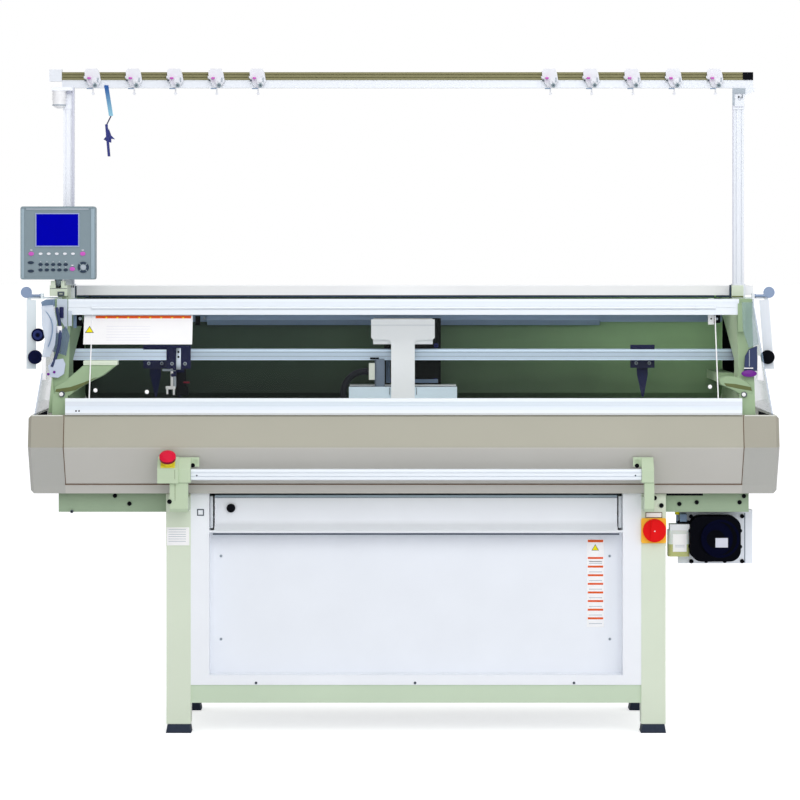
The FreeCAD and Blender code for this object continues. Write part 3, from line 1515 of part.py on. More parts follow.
def tension_unit(across):
    """One tension unit, clipped to the front of the bar and reaching up over it."""
    near = -post_front - 4
    top = stand_rail_top + stand_bar_height
    half = tension_width / 2
    low = stand_rail_top - 22
    plate = [
        (across - half, top + 2), (across - half + 6, top + 10), (across + half - 8, top + 10),
        (across + half - 2, top - 4), (across + half + 2, low + 18), (across + half - 10, low),
        (across - half + 16, low), (across - half + 8, low + 16), (across - half + 2, stand_rail_top),
    ]
    pieces = [prism("clip", "y", plate, (near - 14, near))]
    hook = block((across - 12, across + 12), (near - 4, near + stand_bar_depth + 3), (top, top + 8))
    disc_place = (across + 10, stand_rail_top - 6)
    pieces.append(hook)
    pieces.append(rod("y", disc_place, 11, (near - 18, near - 14)))
    pieces.append(rod("y", disc_place, 7, (near - 24, near - 18)))
    pieces.append(rod("y", disc_place, 11, (near - 28, near - 24)))
    pieces.append(rod("y", disc_place, 3, (near - 36, near - 28)))
    pieces.append(rod("x", (near - 8, stand_rail_top + 8), 4, (across - half - 2, across - half + 8)))
    pieces.append(rod("z", (across + 2, near - 7), 2, (low - 22, low)))
    pieces.append(rod("y", (across + 2, low - 20), 4.5, (near - 10, near - 4)))
    return united(pieces, "tension_unit")


def slanted(label, start, stop, half, depth):
    """A flat bar seen from the front, from one place to another, with a half width and a depth."""
    outline = [
        (start[0] - half, start[1]), (start[0] + half, start[1]), (stop[0] + half, stop[1]),
        (stop[0] - half, stop[1]),
    ]
    return prism(label, "y", outline, depth)


def threading_tool():
    """The hook that hangs by a strip from the stand rail: strip, link, rod and a star grip."""
    near = -post_front - 1
    top = stand_rail_top - stand_rail_tall + 8
    left = tool_strip_width / 2 - tool_place
    low = top - tool_strip_length
    deep = (near - 3, near)
    strip = slanted("strip", (left, top), (left + 15, low), tool_strip_width / 2, deep)
    link_foot = low - 26
    link = slanted("link", (left + 15, low), (left + 2, link_foot), as_size(2), deep)
    rod_foot = link_foot - tool_rod_length
    stem = slanted("stem", (left + 1, link_foot), (left + 9, rod_foot), tool_rod_radius, (near - 8, near))
    middle = left + 8
    star_top = link_foot - 34
    star = [
        (middle, star_top + 22), (middle + 8, star_top), (middle + 20, star_top - 12),
        (middle + 8, star_top - 10), (middle + 8, star_top - 22), (middle - 2, star_top - 20),
        (middle - 16, star_top - 12), (middle - 6, star_top),
    ]
    grip = prism("grip", "y", star, (near - 4, near))
    node("threading_tool", united([strip, link, stem, grip], "threading_tool"))


# ---------------------------------------------------------------- side tension units

def side_tension():
    """Beside each clear cover, a plate with its tension knobs; the two plates share one file."""
    plates = []
    for side, name, shift, lean in ((-1, "left", 0, 0), (1, "right", side_unit_shift, side_plate_lean)):
        outer = side_plate_reach - shift
        plates.append(tension_plate(side, outer, lean))
        side_arm("side_arm_" + name, side, outer)
    node("side_tension_plates", group(plates, "side_tension_plates"))


def tension_plate(side, outer, lean):
    """A hanging plate, its knobs, and the bracket on the casting that carries it."""
    inner = outer - side_plate_width
    front = -side_plate_front
    back = front + side_plate_thickness
    outline = [
        (side * inner, side_plate_top), (side * (inner + lean), side_plate_bottom),
        (side * (outer + lean), side_plate_bottom), (side * outer, side_plate_top),
    ]
    pieces = [prism("hanging_plate", "y", outline, (front, back))]
    shelf = hood_top
    neck = block((side * (outer - 12), side * (outer - 2)), (back, back + 10), (side_plate_top - 14, shelf + 5))
    strap = block((side * (casting_outer - 14), side * (outer - 2)), (back, back + 10), (shelf, shelf + 5))
    pieces += [neck, strap]
    low_knob = side_plate_bottom + low_knob_rise
    knobs = [(outer - 27, low_knob, 21, 16)] if side < 0 else [(outer - 5, low_knob, 21, 16)]
    if side < 0:
        knobs.append((outer - 36, side_plate_bottom + high_knob_rise, 20, 12))
    for across, height, radius, length in knobs:
        middle = (side * across, height)
        pieces.append(rod("y", middle, radius, (front - length, front)))
        pieces.append(rod("y", middle, radius * 0.35, (front - length - 4, front - length)))
    lug = block((side * (outer - side_rod_inset), side * (outer - side_rod_inset + 8)),
                (front - 8, back), (shelf, side_rod_height + 14))
    tie = block((side * (outer - side_rod_inset), side * (outer - side_rod_inset + 8)),
                (back, back + 10), (shelf + 5, side_rod_height + 14))
    bore = rod("x", (front - 2, side_rod_height + 7), side_pivot_radius + shaft_clearance,
               (side * (outer - side_rod_inset - 1), side * (outer - side_rod_inset + 9)))
    return cut(united(pieces + [lug, tie], "tension_solid"), [bore], "tension_plate")


def side_arm(label, side, outer):
    """The rod that turns in the lug, with a tapered paddle standing on its outer end."""
    along = -side_plate_front - 2
    height = side_rod_height + 7
    start = outer - side_rod_inset
    stop = start + side_rod_length
    axle = rod("x", (along, height), side_pivot_radius, (side * start, side * stop))
    collar = rod("x", (along, height), side_pivot_radius + 2, (side * (start + 8.5), side * (start + 12)))
    thick = side_paddle_thickness / 2
    place = (side * outer, side_rod_height + side_paddle_rise)
    disc = rod("y", place, side_paddle_radius, (along - thick, along + thick))
    root = [
        (side * (stop - 6), height - 5), (side * (stop + 2), height - 5),
        (side * (outer + side_paddle_radius * 0.8), place[1] - side_paddle_radius * 0.6),
        (side * (outer - side_paddle_radius * 0.6), place[1] + side_paddle_radius * 0.8),
    ]
    taper = prism("paddle_root", "y", root, (along - thick, along + thick))
    node(label, united([axle, collar, disc, taper], label))


# ---------------------------------------------------------------- control panel

def control_panel():
    """The operator's panel on a swivel, and the arm that carries it from the casting."""
    left = -panel_place - panel_width / 2
    right = -panel_place + panel_width / 2
    back = -panel_back
    front = back - panel_depth
    top = panel_bottom + panel_height
    body = new_body("panel_case")
    case = pad(body, "y", rectangle((left, right), (panel_bottom, top)), (front, back))
    corners = [(left, panel_bottom), (right, panel_bottom), (right, top), (left, top)]
    rounded(body, case, "y", corners, panel_corner)
    border = panel_corner
    face = rectangle((left + border, right - border), (panel_bottom + border, top - border))
    pocket(body, "y", face, (front - 1, front + panel_bezel))
    swivel = (-panel_place, (front + back) / 2)
    arm_top = panel_arm_bottom + panel_arm_height
    pin = rod("z", swivel, swivel_radius, (arm_top - 20, panel_bottom + 4))
    node("control_panel", united([body, pin], "control_panel"))
    across = (-panel_place - panel_arm_width / 2, -panel_place + panel_arm_width / 2)
    ledge = arm_top - 14
    beam = block(across, (-panel_arm_front, -post_front - 8), (panel_arm_bottom, ledge))
    boss = block((across[0] + 4, across[1] - 9), (-panel_arm_front, -panel_back + 16), (ledge, arm_top))
    foot = block((-casting_outer, across[1]), (-panel_back, -post_front - 8),
                 (hood_top, panel_arm_bottom))
    slot = block((-panel_place - 9, -panel_place + 3), (-panel_arm_front - 1, -panel_arm_front + 6),
                 (ledge, arm_top + 1))
    bore = rod("z", swivel, swivel_radius + shaft_clearance, (arm_top - 22, arm_top + 1))
    node("panel_arm", cut(united([beam, boss, foot], "arm_solid"), [slot, bore], "panel_arm"))


# ---------------------------------------------------------------- start bar, stop button, switch

def bar_axis():
    """The axis that the start bar turns on."""
    return (bar_depth / 2 - bar_front, bar_top - bar_height / 2)


def start_bar():
    """The aluminium start bar between its brackets, and the brackets on the machine bed."""
    left = stand_shift - bar_half
    right = stand_shift + bar_half
    near = -bar_front
    far = near + bar_depth
    bottom = bar_top - bar_height
    third = bar_height / 3
    outline = [
        (near, bottom), (far, bottom), (far, bar_top), (near, bar_top),
        (near, bottom + third * 2 + 1), (near + 2, bottom + third * 2), (near, bottom + third * 2 - 1),
        (near, bottom + third + 1), (near + 2, bottom + third), (near, bottom + third - 1),
    ]
    corners = [outline[0], outline[1], outline[2], outline[3]]
    profile = prism("bar_profile", "x", outline, (left, right), corners, 4)
    pin = rod("x", bar_axis(), bar_pin_radius, (left - bar_pin_length, right + bar_pin_length))
    node("start_bar", united([profile, pin], "start_bar"))
    bar_bracket("left", -1, left, bracket_width)
    bar_bracket("right", 1, right, bracket_right_width)


def bar_bracket(name, side, edge, width):
    """A bracket from the machine bed, under the cover and up to the start bar's end."""
    near_edge = edge + side * bar_end_gap
    head = (near_edge, near_edge + side * bracket_head_width)
    web = (near_edge + side * bracket_inset, near_edge + side * (width + bracket_inset))
    face = -base_depth / 2
    foot_top = bracket_bottom + bracket_foot_height
    back = bracket_web - bracket_front
    outline = [
        (face, bracket_bottom), (face, foot_top), (back, foot_top), (back, head_bottom),
        (-bracket_front, head_bottom), (-bracket_front, bracket_bottom + 10),
        (10 - bracket_front, bracket_bottom),
    ]
    web_body = prism("bracket_web", "x", outline, web, [outline[2]], 8)
    profile = [
        (-head_back, head_bottom), (-head_back, bracket_top), (bracket_slope - head_front, bracket_top),
        (-head_front, bracket_top - bracket_slope), (-head_front, head_bottom),
    ]
    head_body = prism("bracket_head", "x", profile, head, [profile[4], profile[3]], 3)
    ear = block((near_edge - side * ear_width, near_edge), (-head_back - 6, -head_back),
                (ear_bottom, bracket_top))
    hole = rod("y", (near_edge - side * ear_width * 0.5, (ear_bottom + bracket_top) / 2), 7,
               (-head_back - 7, -head_back - 2))
    bore = rod("x", bar_axis(), bar_pin_radius + shaft_clearance,
               (near_edge - side, near_edge + side * (bar_pin_length + 2)))
    pieces = [web_body, head_body, ear]
    if side < 0:
        pieces.append(stop_box(head[1]))
    node("bar_bracket_" + name, cut(united(pieces, "bracket_solid"), [bore, hole], "bar_bracket_" + name))


def stop_box(inner):
    """The box of the emergency stop, its face sloping towards the knitter."""
    bottom = stop_box_top - stop_box_height
    slope_end = stop_box_top - stop_face_drop
    outline = [
        (-stop_box_back, bottom), (-stop_box_back, stop_box_top),
        (stop_face_drop - stop_box_front, stop_box_top),
        (-stop_box_front, slope_end), (-stop_box_front, bottom),
    ]
    box = prism("stop_case", "x", outline, (inner, inner - stop_box_width))
    well = stop_button_place(inner, -14)
    return cut(box, [tilted_rod(well, stop_neck_radius + sliding_gap, 30)])


def stop_button_place(inner, outward):
    """A place on the stop button's axis, outward from the sloped face."""
    along = -stop_box_front + stop_face_drop / 2 - outward * stop_slope
    up = stop_box_top - stop_face_drop / 2 + outward * stop_slope
    return (inner - stop_box_width / 2, along, up)


def tilted_rod(place, radius, length):
    """A round rod along the stop button's tilted axis, starting at a place."""
    piece = document.addObject("Part::Cylinder", "tilted_rod")
    tilt = FreeCAD.Rotation(FreeCAD.Vector(1, 0, 0), 45)
    piece.Placement = FreeCAD.Placement(FreeCAD.Vector(), tilt)
    bind(piece, {"Radius": radius, "Height": length})
    for letter, value, middle in zip("xyz", place, MIDDLE):
        bind(piece, {"Placement.Base." + letter: value + middle})
    return piece


def tilted_block(place, half, height):
    """A square block on the stop button's tilted axis, its lower face at a place."""
    piece = document.addObject("Part::Box", "tilted_block")
    piece.Placement = FreeCAD.Placement(FreeCAD.Vector(), FreeCAD.Rotation(FreeCAD.Vector(1, 0, 0), 45))
    bind(piece, {"Length": half * 2, "Width": half * 2, "Height": height})
    corner = (place[0] - half, place[1] - half * stop_slope, place[2] - half * stop_slope)
    for letter, value, middle in zip("xyz", corner, MIDDLE):
        bind(piece, {"Placement.Base." + letter: value + middle})
    return piece


def stop_button():
    """The emergency stop's mushroom head on its stem, and the plate and collar round it."""
    inner = stand_shift - bar_half - bar_end_gap - bracket_head_width
    stem = tilted_rod(stop_button_place(inner, -6), stop_neck_radius, head_start + 6)
    head = tilted_rod(stop_button_place(inner, head_start), stop_head_radius, stop_head_height)
    crown = document.addObject("Part::Cone", "crown")
    crown.Placement = FreeCAD.Placement(FreeCAD.Vector(), FreeCAD.Rotation(FreeCAD.Vector(1, 0, 0), 45))
    bind(crown, {"Radius1": stop_head_radius, "Radius2": stop_head_radius * 0.6, "Height": 5})
    for letter, value, middle in zip("xyz", stop_button_place(inner, head_end), MIDDLE):
        bind(crown, {"Placement.Base." + letter: value + middle})
    node("stop_button", united([stem, head, crown], "stop_button"))
    plate = tilted_block(stop_button_place(inner, 0), stop_ring_radius, stop_plate_thickness)
    collar = tilted_rod(stop_button_place(inner, 0), stop_collar_radius, stop_ring_height)
    hole = tilted_rod(stop_button_place(inner, -1), stop_neck_radius + sliding_gap, stop_ring_height + 2)
    node("stop_ring", cut(united([plate, collar], "ring_solid"), [hole], "stop_ring"))


def main_switch():
    """The yellow plate of the main switch on the right leg, and its round knob."""
    left = stand_right - leg_width - leg_seam_step
    right = stand_right + leg_seam_step
    front = -stand_depth / 2 - leg_seam_step
    face = front - switch_plate_depth
    top = switch_plate_bottom + switch_plate_height
    body = new_body("switch_case")
    case = pad(body, "y", rectangle((left, right), (switch_plate_bottom, top)), (face, front))
    corners = [(left, switch_plate_bottom), (right, switch_plate_bottom), (right, top), (left, top)]
    rounded(body, case, "y", corners, 5)
    centre = ((left + right) / 2 + 2, switch_plate_bottom + switch_plate_height / 2 + 1)
    bore = rod("y", centre, switch_stem_radius + shaft_clearance, (face - 1, front - 1))
    node("main_switch_plate", cut(body, [bore], "main_switch_plate"))
    knob_back = face - sliding_gap
    knob_front = knob_back - switch_knob_height
    stem = rod("y", centre, switch_stem_radius, (knob_back, front - 1.5))
    disc = rod("y", centre, switch_knob_radius, (knob_front, knob_back))
    grip_half = switch_knob_radius * 0.28
    grip_outline = [
        (centre[0] - grip_half, centre[1] + switch_knob_radius * 0.9),
        (centre[0] + grip_half, centre[1] + switch_knob_radius * 0.9),
        (centre[0] + grip_half * 1.3, centre[1] - switch_knob_radius * 0.9),
        (centre[0] - grip_half * 1.3, centre[1] - switch_knob_radius * 0.9),
    ]
    grip = prism("grip", "y", grip_outline, (knob_front - switch_grip_height, knob_front))
    node("main_switch_knob", united([stem, disc, grip], "main_switch_knob"))


# ---------------------------------------------------------------- blower and lubricator

def blower():
    """The blower on its plate under the right end, and the oil bottle beside it."""
    left = blower_plate_left
    right = left + blower_plate_width
    front = -blower_plate_front
    back = front + blower_plate_thickness
    bottom = base_bottom - blower_plate_height
    plate = block((left, right), (front, back), (bottom, base_bottom))
    flange = block((left, right), (back, back + blower_flange),
                   (base_bottom - blower_plate_thickness, base_bottom))
    node("blower_plate", united([plate, flange], "blower_plate"))
    body = new_body("blower_case")
    case_left = left + 32
    case_right = case_left + blower_side
    case_top = base_bottom - 14
    case_bottom = case_top - blower_height
    face = rectangle((case_left, case_right), (case_bottom, case_top))
    case = pad(body, "y", face, (front - blower_depth, front))
    corners = [
        (case_left, case_bottom), (case_right, case_bottom), (case_right, case_top), (case_left, case_top),
    ]
    rounded(body, case, "y", corners, blower_corner)
    centre = ((case_left + case_right) / 2, (case_bottom + case_top) / 2)
    dish = rod("y", centre, blower_height * 0.38, (front - blower_depth - 1, front - blower_depth + 5))
    boss = rod("y", centre, blower_height * 0.2, (front - blower_depth, front - blower_depth + 6))
    node("blower_housing", united([cut(body, [dish]), boss], "blower_housing"))
    oil_bottle(left)


def oil_bottle(plate_left):
    """The lubricator's bottle, its lid and the filler neck."""
    right = plate_left + 31
    left = right - oil_width
    back = -blower_plate_front
    front = back - oil_depth
    top = oil_bottom + oil_height
    body = new_body("bottle")
    solid = pad(body, "z", rectangle((left, right), (front, back)), (oil_bottom, top))
    corners = [(left, front), (right, front), (right, back), (left, back)]
    rounded(body, solid, "z", corners, 9)
    lid = block((left + 5, right), (front + 2, back), (top, top + 18))
    neck_centre = (left + oil_width * 0.45, (front + back) / 2)
    neck = rod("z", neck_centre, oil_neck_radius / 2, (top + 18, base_bottom - 4))
    cap = rod("z", neck_centre, oil_neck_radius, (base_bottom - 12, base_bottom - 1))
    node("oil_bottle", united([body, lid, neck, cap], "oil_bottle"))


# ---------------------------------------------------------------- the whole machine

def build():
    """Every piece, in the order in which the machine goes together."""
    stand()
    cabinet()
    cabinet_panel()
    take_down_flap()
    take_down_rollers()
    bed_base()
    needle_bed("needle_bed_front", 1)
    needle_bed("needle_bed_rear", -1)
    end_casting("end_casting_left", -1)
    end_casting("end_casting_right", 1)
    rear_cover()
    yarn_table()
    front_cover()
    end_cover("end_cover_left", -1)
    end_cover("end_cover_right", 1)
    side_covers()
    hood_rails()
    hood()
    yarn_rails()
    guide_rails()
    lamp()
    carriage()
    carriage_cable()
    yarn_carriers()
    belt_drive()
    yarn_stand()
    tension_units()
    threading_tool()
    side_tension()
    control_panel()
    start_bar()
    stop_button()
    main_switch()
    blower()


def check():
    """Stop if any feature failed or any piece has no sound shape."""
    document.recompute()
    for feature in document.Objects:
        if "Invalid" in feature.State or "Error" in feature.State:
            raise RuntimeError("feature failed: %s %s" % (feature.Name, feature.Label))
    for label, piece in nodes.items():
        if piece.Shape.isNull() or not piece.Shape.isValid():
            raise RuntimeError("no sound shape: " + label)
        if not piece.Shape.Solids:
            raise RuntimeError("no solid: " + label)


def export():
    """Write each piece to its own file."""
    os.makedirs("parts", exist_ok=True)
    for label, piece in nodes.items():
        piece.Shape.exportStep("parts/%s.step" % label)


build()
check()
export()
box = Part.makeCompound([piece.Shape for piece in nodes.values()]).BoundBox
print("nodes %d, box %.0f %.0f %.0f" % (len(nodes), box.XLength, box.YLength, box.ZLength))
print("middle %.1f %.1f, lowest %.1f" % ((box.XMin + box.XMax) / 2, (box.YMin + box.YMax) / 2, box.ZMin))
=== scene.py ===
"""Finishes, signs and small fittings of a flat knitting machine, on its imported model."""

import math

import bpy
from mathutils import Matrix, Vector


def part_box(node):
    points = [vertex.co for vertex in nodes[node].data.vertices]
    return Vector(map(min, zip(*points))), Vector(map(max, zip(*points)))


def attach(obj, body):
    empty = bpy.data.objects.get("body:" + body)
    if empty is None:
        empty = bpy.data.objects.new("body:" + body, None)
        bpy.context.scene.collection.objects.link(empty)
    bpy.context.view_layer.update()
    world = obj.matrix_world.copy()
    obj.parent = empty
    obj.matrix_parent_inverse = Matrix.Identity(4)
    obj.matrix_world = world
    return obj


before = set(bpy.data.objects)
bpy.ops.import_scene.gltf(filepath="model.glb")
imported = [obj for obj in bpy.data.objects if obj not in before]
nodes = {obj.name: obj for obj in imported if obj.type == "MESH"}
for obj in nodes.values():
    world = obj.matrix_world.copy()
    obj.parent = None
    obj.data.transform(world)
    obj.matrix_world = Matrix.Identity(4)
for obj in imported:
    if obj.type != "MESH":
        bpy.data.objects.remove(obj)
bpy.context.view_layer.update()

MM = 0.001


# ---- the machine's own zero

bed_low, bed_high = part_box("needle_bed_front")
rear_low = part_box("needle_bed_rear")[0]
MIDDLE_X = (bed_low.x + bed_high.x) / 2
MIDDLE_Y = (bed_high.y + rear_low.y) / 2


def place(x, y, z):
    """A point in millimetres: x from the beds' middle, y from between the beds, z from the floor."""
    return Vector((MIDDLE_X + x * MM, MIDDLE_Y + y * MM, z * MM))


def millimetres(point):
    """A point of the scene in the machine's own millimetres."""
    return Vector(((point[0] - MIDDLE_X) / MM, (point[1] - MIDDLE_Y) / MM, point[2] / MM))


def box_of(node):
    """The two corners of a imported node's box, in the machine's millimetres."""
    return [millimetres(corner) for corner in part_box(node)]


def front_of(node):
    """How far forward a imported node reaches."""
    return box_of(node)[0].y


# ---- shader sums

def sums(operation, swapped=False):
    """The method by which a field takes part in one kind of sum."""
    def result(field, other):
        first, second = (other, field) if swapped else (field, other)
        return field.graph.maths(operation, first, second)
    return result


class Field:
    """A value that shader nodes give, for use in Python sums."""

    def __init__(self, graph, socket):
        self.graph = graph
        self.socket = socket

    __add__ = sums("ADD")
    __radd__ = sums("ADD", swapped=True)
    __sub__ = sums("SUBTRACT")
    __mul__ = sums("MULTIPLY")
    __rmul__ = sums("MULTIPLY", swapped=True)
    __gt__ = sums("GREATER_THAN")
    __lt__ = sums("LESS_THAN")


class Graph:
    """The shader nodes of a material or of the world."""

    def __init__(self, tree):
        self.tree = tree

    def feed(self, socket, value):
        """Links a field to a socket, or sets a number or colour on it."""
        if isinstance(value, Field):
            self.tree.links.new(value.socket, socket)
        else:
            socket.default_value = value

    def node(self, kind, settings=None, sockets=None, out=0):
        """Adds one node, sets it up, feeds its sockets and returns one of its outputs."""
        made = self.tree.nodes.new(kind)
        for name, value in (settings or {}).items():
            setattr(made, name, value)
        for name, value in (sockets or {}).items():
            self.feed(made.inputs[name], value)
        return Field(self, made.outputs[out])

    def maths(self, operation, first, second):
        return self.node("ShaderNodeMath", {"operation": operation}, {0: first, 1: second})

    def between(self, value, low, high):
        return (value > low) * (value < high)

    def ranged(self, value, low, high, least=0.0, most=1.0):
        """A value carried from one range into another, and held there."""
        return self.node("ShaderNodeMapRange", sockets={"Value": value, "From Min": low, "From Max": high,
                                                        "To Min": least, "To Max": most})

    def seen(self):
        """One for the rays that show a surface, and nought for those that light others."""
        kinds = ("Is Camera Ray", "Is Glossy Ray", "Is Transmission Ray")
        camera_ray, glossy_ray, through = [self.node("ShaderNodeLightPath", out=kind) for kind in kinds]
        return self.maths("MAXIMUM", self.maths("MAXIMUM", camera_ray, glossy_ray), through)


class Finish(Graph):
    """A material, and the nodes that feed its shader."""

    def __init__(self, name, colour, roughness=0.4, metallic=0.0, specular=0.14, coat=0.0):
        self.material = bpy.data.materials.new(name)
        self.material.use_nodes = True
        super().__init__(self.material.node_tree)
        self.colour = tone(*colour)
        self.tint(self.colour)
        self.rough(roughness)
        self.set("Metallic", metallic)
        self.set("Specular IOR Level", specular)
        self.set("Coat Weight", coat)

    def set(self, socket, value):
        self.feed(self.tree.nodes["Principled BSDF"].inputs[socket], value)

    def tint(self, colour):
        self.set("Base Color", colour)

    def rough(self, roughness):
        self.set("Roughness", roughness)

    def mix(self, factor, first, second):
        """A colour between two colours."""
        return self.node("ShaderNodeMix", {"data_type": "RGBA"},
                         {"Factor": factor, "A": first, "B": second}, "Result")

    def toned(self, factor, darker, lighter):
        """The finish's own colour between a darker and a lighter share of it."""
        return self.mix(factor, scaled(self.colour, darker), scaled(self.colour, lighter))

    def position(self):
        return self.node("ShaderNodeTexCoord", out="Object")

    def along(self, axis):
        """The distance in metres along X, Y or Z."""
        return self.node("ShaderNodeSeparateXYZ", sockets={0: self.position()}, out=axis)

    def noise(self, size, detail=2.0, stretch=(1, 1, 1)):
        """Cloudy grain whose features are about the given size in millimetres."""
        turned = self.node("ShaderNodeMapping", sockets={"Vector": self.position(), "Scale": stretch})
        return self.node("ShaderNodeTexNoise", sockets={"Vector": turned, "Scale": 1000 / size,
                                                        "Detail": detail})

    def bump(self, height, depth):
        """Raises the surface by a height field times a depth in millimetres."""
        self.set("Normal", self.node("ShaderNodeBump", sockets={"Height": height, "Distance": depth * MM,
                                                                "Strength": 1.0}))


def tone(red, green, blue):
    """A colour from its 0 to 255 screen values."""
    def linear(level):
        level = level / 255
        return level / 12.92 if level < 0.04045 else ((level + 0.055) / 1.055) ** 2.4
    return (linear(red), linear(green), linear(blue), 1.0)


def scaled(colour, factor):
    return tuple(min(1.0, part * factor) for part in colour[:3]) + (1.0,)


# ---- finishes

DRAWN = (60, 3, (1, 60, 60))


def grained(name, colour, clouds, tones, roughness, wear, relief=None, depth=0.0, **surface):
    """A finish whose clouds, wear and relief are noises: (size in millimetres, detail, stretch)."""
    finish = Finish(name, colour, **surface)
    finish.tint(finish.toned(finish.noise(*clouds), *tones))
    finish.rough(roughness[0] + roughness[1] * finish.noise(*wear))
    if relief:
        finish.bump(finish.noise(*relief), depth)
    return finish.material


def enamel(name, colour, roughness=0.38, peel=0.05):
    """Sprayed and baked paint: faint clouds of tone and a fine orange peel."""
    return grained(name, colour, (160, 3), (0.965, 1.035), (roughness - 0.06, 0.12), (40, 2), (1.6, 2), peel)


def casting_paint(name, colour):
    """Thicker paint over a cast skin."""
    return grained(name, colour, (90, 4), (0.93, 1.05), (0.46, 0.12), (18, 2), (4, 4), 0.22)


def brushed(name, colour, roughness=0.32, metallic=0.9, stretch=(1, 40, 40), change=0.12):
    """Drawn or ground metal with its grain along one direction."""
    grain = (30, 4, stretch)
    return grained(name, colour, grain, (1 - change, 1 + change), (roughness - 0.08, 0.16), grain, grain,
                   0.03, metallic=metallic)


def anodised(name, colour):
    """Satin anodised aluminium profile, drawn along X."""
    return grained(name, colour, DRAWN, (0.97, 1.03), (0.34, 0.1), DRAWN, DRAWN, 0.02, metallic=0.25)


def moulded(name, colour, spark=0.06):
    """Moulded plastic with a fine spark-eroded texture."""
    return grained(name, colour, (50, 2), (0.95, 1.05), (0.42, 0.1), (0.9, 2), (0.9, 2), spark)


def glossy(name, colour, roughness=0.16):
    """Polished plastic with a clear skin."""
    return grained(name, colour, (30, 2), (0.96, 1.04), (roughness, 0.06), (12, 2), coat=0.08)


def dull(name, colour):
    """A matt surface that gives back almost nothing of the room."""
    return grained(name, colour, (24, 2), (0.92, 1.08), (0.6, 0.1), (8, 2), specular=0.02)


def rubber(name, colour):
    return grained(name, colour, (12, 3), (0.8, 1.25), (0.62, 0.15), (6, 2), (1.2, 2), 0.08)


def lower_rail_finish():
    """Anodised rail whose steps catch the light differently, paler towards its ends."""
    finish = Finish("lower_rail_white", (214, 224, 232), metallic=0.2)
    across = finish.along("X")
    height = finish.along("Z")
    crown, shelf, ledge, underside = 0.998, 0.985, 0.973, 0.964
    low = finish.between(height, ledge, shelf)
    foot = finish.between(height, underside, ledge)
    lit = finish.mix(across * across, finish.colour, tone(222, 228, 236))
    for step, shade in ((low, (224, 232, 241)), (foot, (230, 236, 243)),
                        (height > crown, (231, 237, 242)), (height < underside, (206, 210, 212))):
        lit = finish.mix(step, lit, tone(*shade))
    finish.tint(lit)
    grain = finish.noise(*DRAWN)
    finish.rough(0.34 + 0.1 * grain)
    finish.bump(grain, 0.02)
    return finish.material


def clear_sheet(name, colour, cover):
    """Clear moulded sheet that hides a given share of what lies behind it."""
    finish = Finish(name, colour, specular=0.03)
    haze = finish.noise(120, 2)
    finish.set("Alpha", cover * (0.8 + 0.4 * haze))
    finish.rough(0.05 + 0.05 * haze)
    finish.material.surface_render_method = "BLENDED"
    return finish.material


def needle_bed_steel():
    """Ground bed plate: darker and brighter steel in fine streaks across its length, standing for lands and
    tricks.
    """
    finish = Finish("needle_bed_steel", (168, 174, 182), metallic=0.85)
    grain = finish.noise(20, 4, (30, 1, 1))
    finish.tint(finish.mix(grain, tone(142, 148, 156), tone(196, 200, 206)))
    finish.rough(0.26 + 0.16 * grain)
    finish.bump(grain, 0.03)
    return finish.material


def inner_green():
    """The green wall behind the beds, with painted shade that darkens it at the left and low down, and
    painted light from the right.
    """
    finish = Finish("inner_green", (96, 118, 84))
    clouds = finish.noise(220, 3)
    # Painted light and shade: dark to light across the wall, and darker low down.
    across = finish.ranged(finish.along("X") + 0.2 * clouds, -0.9, 1.0)
    height = finish.ranged(finish.along("Z") + 0.05 * clouds, 1.05, 1.2, 0.46)
    lit = finish.mix(across * across * across, tone(60, 80, 68), tone(184, 228, 170))
    finish.tint(finish.mix(height, tone(14, 20, 12), lit))
    finish.rough(0.42 + 0.1 * clouds)
    finish.bump(finish.noise(2, 2), 0.05)
    return finish.material


def lined_rail(name, colour):
    """Ground rail with two darker grooves and painted highlights along its upper and lower edges, paler
    behind the sign where a painted glow lifts the sign's shadow.
    """
    finish = Finish(name, colour, metallic=0.4)
    grain = finish.noise(*DRAWN)
    height = finish.along("Z")
    top, bottom, sign_end = 1.1395, 1.1145, -0.7
    grooves = finish.between(height, 1.1345, 1.1365) + finish.between(height, 1.1225, 1.1245)
    # Painted highlights: the rail's top and bottom edges are made lighter.
    edge = (height > top) + (height < bottom)
    # Painted light: the rail glows behind the sign, to lift the shadow the sign casts on it.
    painted_glow_behind_sign = finish.along("X") < sign_end
    finish.set("Emission Color", finish.mix(painted_glow_behind_sign, tone(0, 0, 0), tone(126, 134, 144)))
    finish.set("Emission Strength", 1.0)
    grooved = finish.mix(grooves, finish.toned(grain, 0.95, 1.06), scaled(finish.colour, 0.62))
    finish.tint(finish.mix(edge, grooved, scaled(finish.colour, 1.35)))
    finish.rough(0.3 + 0.14 * grain)
    finish.bump(grain, 0.02)
    return finish.material


def oil_and_bottle(level):
    """Thin moulded bottle with oil up to a level."""
    finish = Finish("oil_bottle_skin", (220, 226, 214))
    finish.tint(finish.mix(finish.along("Z") < level, tone(222, 226, 222), tone(186, 190, 128)))
    finish.rough(0.3 + 0.1 * finish.noise(8, 2))
    finish.set("Subsurface Weight", 0.15)
    return finish.material


def threading_strip(top, bottom):
    """Printed strip that runs from deep blue to pale cyan."""
    finish = Finish("threading_strip", (60, 120, 190))
    down = finish.ranged(finish.along("Z"), top, bottom)
    finish.tint(finish.mix(down, tone(40, 90, 160), tone(150, 205, 225)))
    finish.rough(0.35 + 0.1 * finish.noise(5, 2))
    return finish.material


